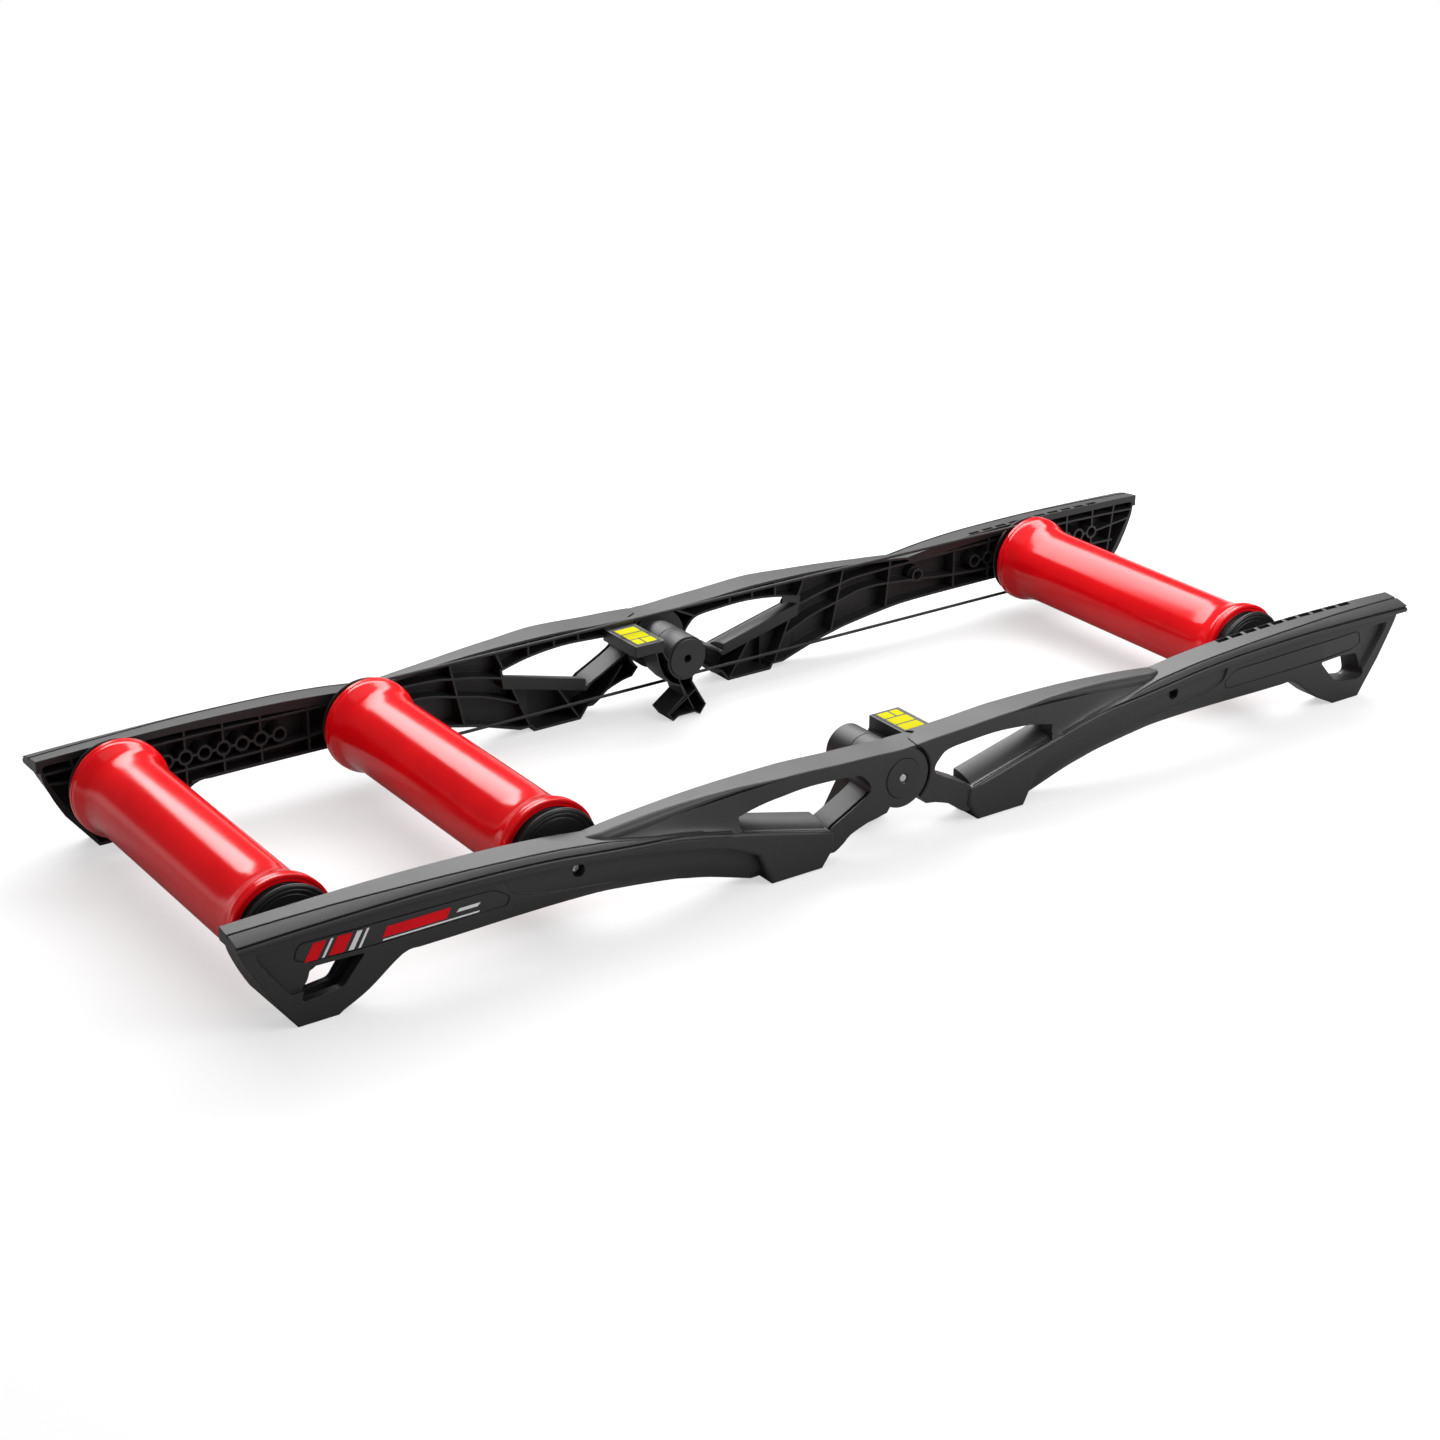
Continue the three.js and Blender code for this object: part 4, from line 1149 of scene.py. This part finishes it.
label_high = step_height + label_thickness / 2
label_low = label_high - label_thickness
label_round, field_round = 1.5, 1.2
label_plan = round_rectangle(
    step_start + label_margin, step_end - label_margin, label_outer, label_inner, label_round,
)
label_fields = [(34, 58.5, 44, 57.5), (34, 58.5, 59.5, 74), (34, 47, 76, 89), (49, 58.5, 76, 89)]
for side, end, hand, body in (("right", 1, -1, "front_frame"), ("left", -1, 1, "rear_frame")):
    plate = finished(
        f"label_plate_{side}_black", plan_sheet(label_plan, label_low, label_high), on_side(end, hand),
    )
    plate.data.materials.append(label_black)
    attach(plate, body)
    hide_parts(f"label_plate_{side}")
    fields_printed = [
        plan_sheet(round_rectangle(*field, field_round), label_high - 0.2, label_high + 0.1)
        for field in label_fields
    ]
    ink = finished(f"label_print_{side}", gathered("label_print", fields_printed), on_side(end, hand))
    ink.data.materials.append(label_yellow)
    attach(ink, body)

# Rollers
# Three red painted drums, each a tube with flared ends, turning on ball bearings in pulley-shaped
# black caps about a fixed steel axle, kept off the rails by a sleeve at each end.
rear_roller, middle_roller, front_roller = -623.7, -fixed_hole, 503.7
drum_end = 171.5
waist = 41.9
flare = 49
cap_seat = 158.5  # how far along the axle the drum's inner wall starts
red_paint = grained(
    "red_paint", (0.80, 0.003, 0.007), 0.17, grain=260.0, relief=0.05, scuffs=0.25, edge=0,
    Specular_IOR_Level=0.3,
)
cap_plastic = grained("cap_plastic", (0.012, 0.012, 0.012), 0.36, relief=0.08, edge=0.0004)

# Profiles of the turned pieces, [radius, distance along the axle]
half_drum = [
    *smooth([(waist, 125), (42.2, 134), (43.5, 146.5), (46.3, 155.2), (48.4, 161.5), (48.6, 165.6)], 6),
    *rounded([
        (48.2, 166), (48.2, 166.5), (flare, 166.9), (flare, drum_end), (45.8, drum_end),
        (44.9, drum_end - 0.8), (42, drum_end - 0.8),
    ], 1.2, 4),
    (42, cap_seat), (38.9, cap_seat),
]
drum_profile = [
    (waist, 62), *half_drum, *((radius, -across) for radius, across in half_drum[::-1]), (waist, -62),
]
cap_profile = [
    (9.5, 171.2), (16.2, 171.2), (16.2, 181.6), (34.7, 181.6), (34.7, 158.9), (41.6, 158.9),
    *rounded([
        (41.6, 160), (41.6, 169), (39.7, 169), (37.2, 175.8), (37.2, 180.4), (44.2, 181.4), (45, 182.0),
        (45, 183.2), (43.6, 184.6), (41.2, 184.6), (40.6, 183.9), (40.2, 184.6), (38.4, 184.6),
        (37.4, 183.4), (36.1, 183.4), (35.8, 182.9), (35.4, 183.4), (20, 183.4), (18.6, 184.6),
        (14, 184.6), (13.4, 184.0),
    ], 0.5),
    (13.4, 174.2), (9.5, 174.2),
]
bearing_profile = rounded([
    (5.4, 174.6), (13, 174.6), (13, 182.6), (11.4, 182.6), (11.2, 182.1), (7.4, 182.1), (7.2, 182.6),
    (5.4, 182.6),
], 0.3)
spacer_profile = rounded([(5.4, 183.0), (8.2, 183.0), (8.2, 196.8), (5.4, 196.8)], 0.5)
bearing_steel = grained(
    "bearing_steel", (0.5, 0.51, 0.52), 0.32, grain=2500.0, relief=0.05, edge=0.0002, Metallic=1.0,
)
axle_radius, axle_bore, screw_reach = 5, 3.2, 16

for station, along, frame_body in (
    ("rear", rear_roller, "rear_frame"), ("middle", middle_roller, "rear_frame"),
    ("front", front_roller, "front_frame"),
):
    roller = f"roller_{station}"
    add_turned(
        f"{roller}_shell", f"roller_drum_{station}", roller, red_paint,
        turned(drum_profile, 128), along,
    )
    is_middle = station == "middle"
    axle_end = half_width - (fixed_socket_floor if is_middle else socket_floor) - fit
    half_axle = [(axle_radius, axle_end), (0, axle_end)]
    if is_middle:
        bore_end = axle_end - screw_reach
        half_axle[1:] = [(axle_bore, axle_end), (axle_bore, bore_end), (0, bore_end)]
    axle = [(radius, -across) for radius, across in half_axle[::-1]] + half_axle
    add_turned(
        f"axle_{station}_steel", f"axle_{station}", frame_body, bright_steel,
        turned(rounded(axle, 0.7), 48), along,
    )
    for side, way in (("left", 1), ("right", -1)):
        tag = f"{station}_{side}"
        add_turned(
            f"end_cap_{tag}_pulley", f"end_cap_{tag}", roller, cap_plastic,
            turned(cap_profile), along, way,
        )
        add_turned(
            f"bearing_{tag}_ring", f"bearing_{tag}", roller, bearing_steel,
            turned(bearing_profile, 64), along, way,
        )
        add_turned(
            f"axle_spacer_{tag}_sleeve", f"axle_spacer_{tag}", frame_body, cap_plastic,
            turned(spacer_profile, 48), along, way,
        )

# Middle axle screws
# A button-headed steel screw at each end of the middle axle, deep in the rail's outer counterbore.
screw_seat = half_width - fixed_socket_floor + bolt_web + fit
shank_radius, head_radius, head_height = 2.8, 5, 2
key_radius, key_floor = 2.6, 0.7
screw = combined(
    turned(rounded([
        (0, screw_seat - screw_reach), (shank_radius, screw_seat - screw_reach), (shank_radius, screw_seat),
        (head_radius, screw_seat), (head_radius, screw_seat + 0.9), (3.6, screw_seat + head_height),
        (0, screw_seat + head_height),
    ], 0.5), 48),
    ("DIFFERENCE", [loft([
        [(x, across, z) for x, z in points_round(key_radius, 6)]
        for across in (screw_seat + key_floor, screw_seat + head_height + overrun)
    ])]),
)
for side, way in (("left", 1), ("right", -1)):
    add_turned(
        f"middle_axle_screw_{side}", f"middle_axle_bolt_{side}", "rear_frame", bright_steel,
        screw, middle_roller, way,
    )

# Drive belt
# An endless round belt of black rubber in the pulley grooves of the middle and front rollers.
belt_rubber = grained("belt_rubber", (0.012, 0.012, 0.012), 0.55, grain=1600.0, relief=0.2, edge=0.0001)
belt_radius = 1.7
belt_sides = 12
groove_radius = 37.2  # bottom of the caps' grooves
belt_centre = groove_radius + fit + belt_radius
belt_across = 178.1
arc_steps, run_steps = 40, 60
path = []  # along, up, and the way outwards there
for centre, other, way in ((middle_roller, front_roller, 1), (front_roller, middle_roller, -1)):
    for i in range(arc_steps):
        out_x, out_z = polar(1, way * math.pi / 2 + math.pi * i / arc_steps)
        path.append((centre + belt_centre * out_x, belt_centre * out_z, out_x, out_z))
    path += [(along, -way * belt_centre, 0, -way) for along in between(centre, other, run_steps)[:-1]]
belt_shell = bmesh.new()
belt_rows = [
    [
        belt_shell.verts.new((
            along + out_x * reach, belt_across + across, axle_height + up + out_z * reach,
        ))
        for reach, across in points_round(belt_radius, belt_sides)
    ]
    for along, up, out_x, out_z in path
]
for low, high in zip(belt_rows, belt_rows[1:] + belt_rows[:1]):
    for k in range(belt_sides):
        following = (k + 1) % belt_sides
        belt_shell.faces.new((low[k], low[following], high[following], high[k]))
belt_mesh = mesh_of(belt_shell, "belt")
belt = finished("drive_belt_rubber", belt_mesh, lambda point: Vector(point), 60)
belt.modifiers.clear()
belt.data.materials.append(belt_rubber)
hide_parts("drive_belt")
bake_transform(belt)

# Studio floor and light
# A pale floor that turns pure white away from the object, one long soft box behind for the sheen
# along the drums and flanges, one overhead and one in front, in a white room.
floor_radius = 6
floor_sides = 96
floor_mesh = bpy.data.meshes.new("studio_floor")
floor_mesh.from_pydata(
    [(x, y, 0) for x, y in points_round(floor_radius, floor_sides)], [], [tuple(range(floor_sides))],
)
floor = bpy.data.objects.new("studio_floor", floor_mesh)
bpy.context.scene.collection.objects.link(floor)
floor_material = bpy.data.materials.new("studio_floor")
floor_material.use_nodes = True
floor_tree = floor_material.node_tree
floor_shader = floor_tree.nodes["Principled BSDF"]
floor_shader.inputs["Roughness"].default_value = 0.8
floor_shader.inputs["Specular IOR Level"].default_value = 0.2
floor_rays = add_node(floor_tree, "ShaderNodeLightPath")
floor_colour = add_node(floor_tree, "ShaderNodeMapRange", To_Min=0.36, To_Max=0.93)
floor_place = add_node(floor_tree, "ShaderNodeTexCoord")
floor_scale = add_node(floor_tree, "ShaderNodeMapping", Scale=(0.8, 1.15, 1.0))
floor_distance = add_node(floor_tree, "ShaderNodeVectorMath", operation="LENGTH")
floor_fade = add_node(
    floor_tree, "ShaderNodeMapRange", interpolation_type="SMOOTHSTEP", From_Min=0.85, From_Max=1.5,
)
floor_lift = add_node(floor_tree, "ShaderNodeMath", 0.55, operation="MULTIPLY")
floor_seen = add_node(floor_tree, "ShaderNodeMath", operation="MAXIMUM")
floor_shown = add_node(floor_tree, "ShaderNodeMath", operation="MAXIMUM")
floor_amount = add_node(floor_tree, "ShaderNodeMath", operation="MULTIPLY")
floor_glow = add_node(floor_tree, "ShaderNodeEmission")
floor_mix = add_node(floor_tree, "ShaderNodeMixShader")
wire(
    floor_tree,
    (floor_place, "Object", floor_scale, "Vector"), (floor_scale, "Vector", floor_distance, 0),
    (floor_distance, "Value", floor_fade, "Value"), (floor_rays, "Is Camera Ray", floor_colour, "Value"),
    (floor_colour, "Result", floor_shader, "Base Color"), (floor_rays, "Is Camera Ray", floor_lift, 0),
    (floor_lift, "Value", floor_fade, "To Min"), (floor_rays, "Is Camera Ray", floor_seen, 0),
    (floor_rays, "Is Glossy Ray", floor_seen, 1), (floor_seen, "Value", floor_shown, 0),
    (floor_rays, "Is Transmission Ray", floor_shown, 1), (floor_shown, "Value", floor_amount, 0),
    (floor_fade, "Result", floor_amount, 1), (floor_amount, "Value", floor_mix, "Fac"),
    (floor_shader, "BSDF", floor_mix, 1), (floor_glow, "Emission", floor_mix, 2),
    (floor_mix, "Shader", floor_tree.nodes["Material Output"], "Surface"),
)
floor_mesh.materials.append(floor_material)


def soft_box(name, place, turn, width, length, power):
    """A flat lamp that faces straight down, turned about the vertical."""
    light = bpy.data.lights.new(name, "AREA")
    light.shape = "RECTANGLE"
    light.size = width
    light.size_y = length
    light.energy = power
    lamp = bpy.data.objects.new(name, light)
    bpy.context.scene.collection.objects.link(lamp)
    lamp.location = place
    lamp.rotation_euler = (0, 0, math.radians(turn))


soft_box("back_soft_box", (0.744, 1.585, 1.6), -35, 3.1, 1.35, 118)
soft_box("overhead_soft_box", (0, 0, 2.6), 0, 3.2, 2.8, 26)
soft_box("front_soft_box", (1.3, -1.9, 1.3), -35, 2.6, 1.0, 45)

world = bpy.data.worlds.new("studio_world")
bpy.context.scene.world = world
world.use_nodes = True
world_tree = world.node_tree
background = world_tree.nodes["Background"]
background.inputs["Color"].default_value = (1, 1, 1, 1)
room_light = 0.4
ceiling_sheen = 0.12  # of the white that glossy surfaces see near the floor
rays = add_node(world_tree, "ShaderNodeLightPath")
direction = add_node(world_tree, "ShaderNodeTexCoord")
upward = add_node(world_tree, "ShaderNodeSeparateXYZ")
sheen = add_node(
    world_tree, "ShaderNodeMapRange", interpolation_type="SMOOTHSTEP",
    From_Max=0.12, To_Min=1.0, To_Max=ceiling_sheen,
)
mirrored = add_node(world_tree, "ShaderNodeMath", operation="MAXIMUM")
indirect = add_node(world_tree, "ShaderNodeMix", data_type="FLOAT", A=room_light)
level = add_node(world_tree, "ShaderNodeMix", data_type="FLOAT", B=1.0)
wire(
    world_tree,
    (direction, "Generated", upward, "Vector"), (upward, "Z", sheen, "Value"),
    (rays, "Is Glossy Ray", mirrored, 0), (rays, "Is Transmission Ray", mirrored, 1),
    (mirrored, "Value", indirect, "Factor"), (sheen, "Result", indirect, "B"),
    (indirect, "Result", level, "A"), (rays, "Is Camera Ray", level, "Factor"),
    (level, "Result", background, "Strength"),
)
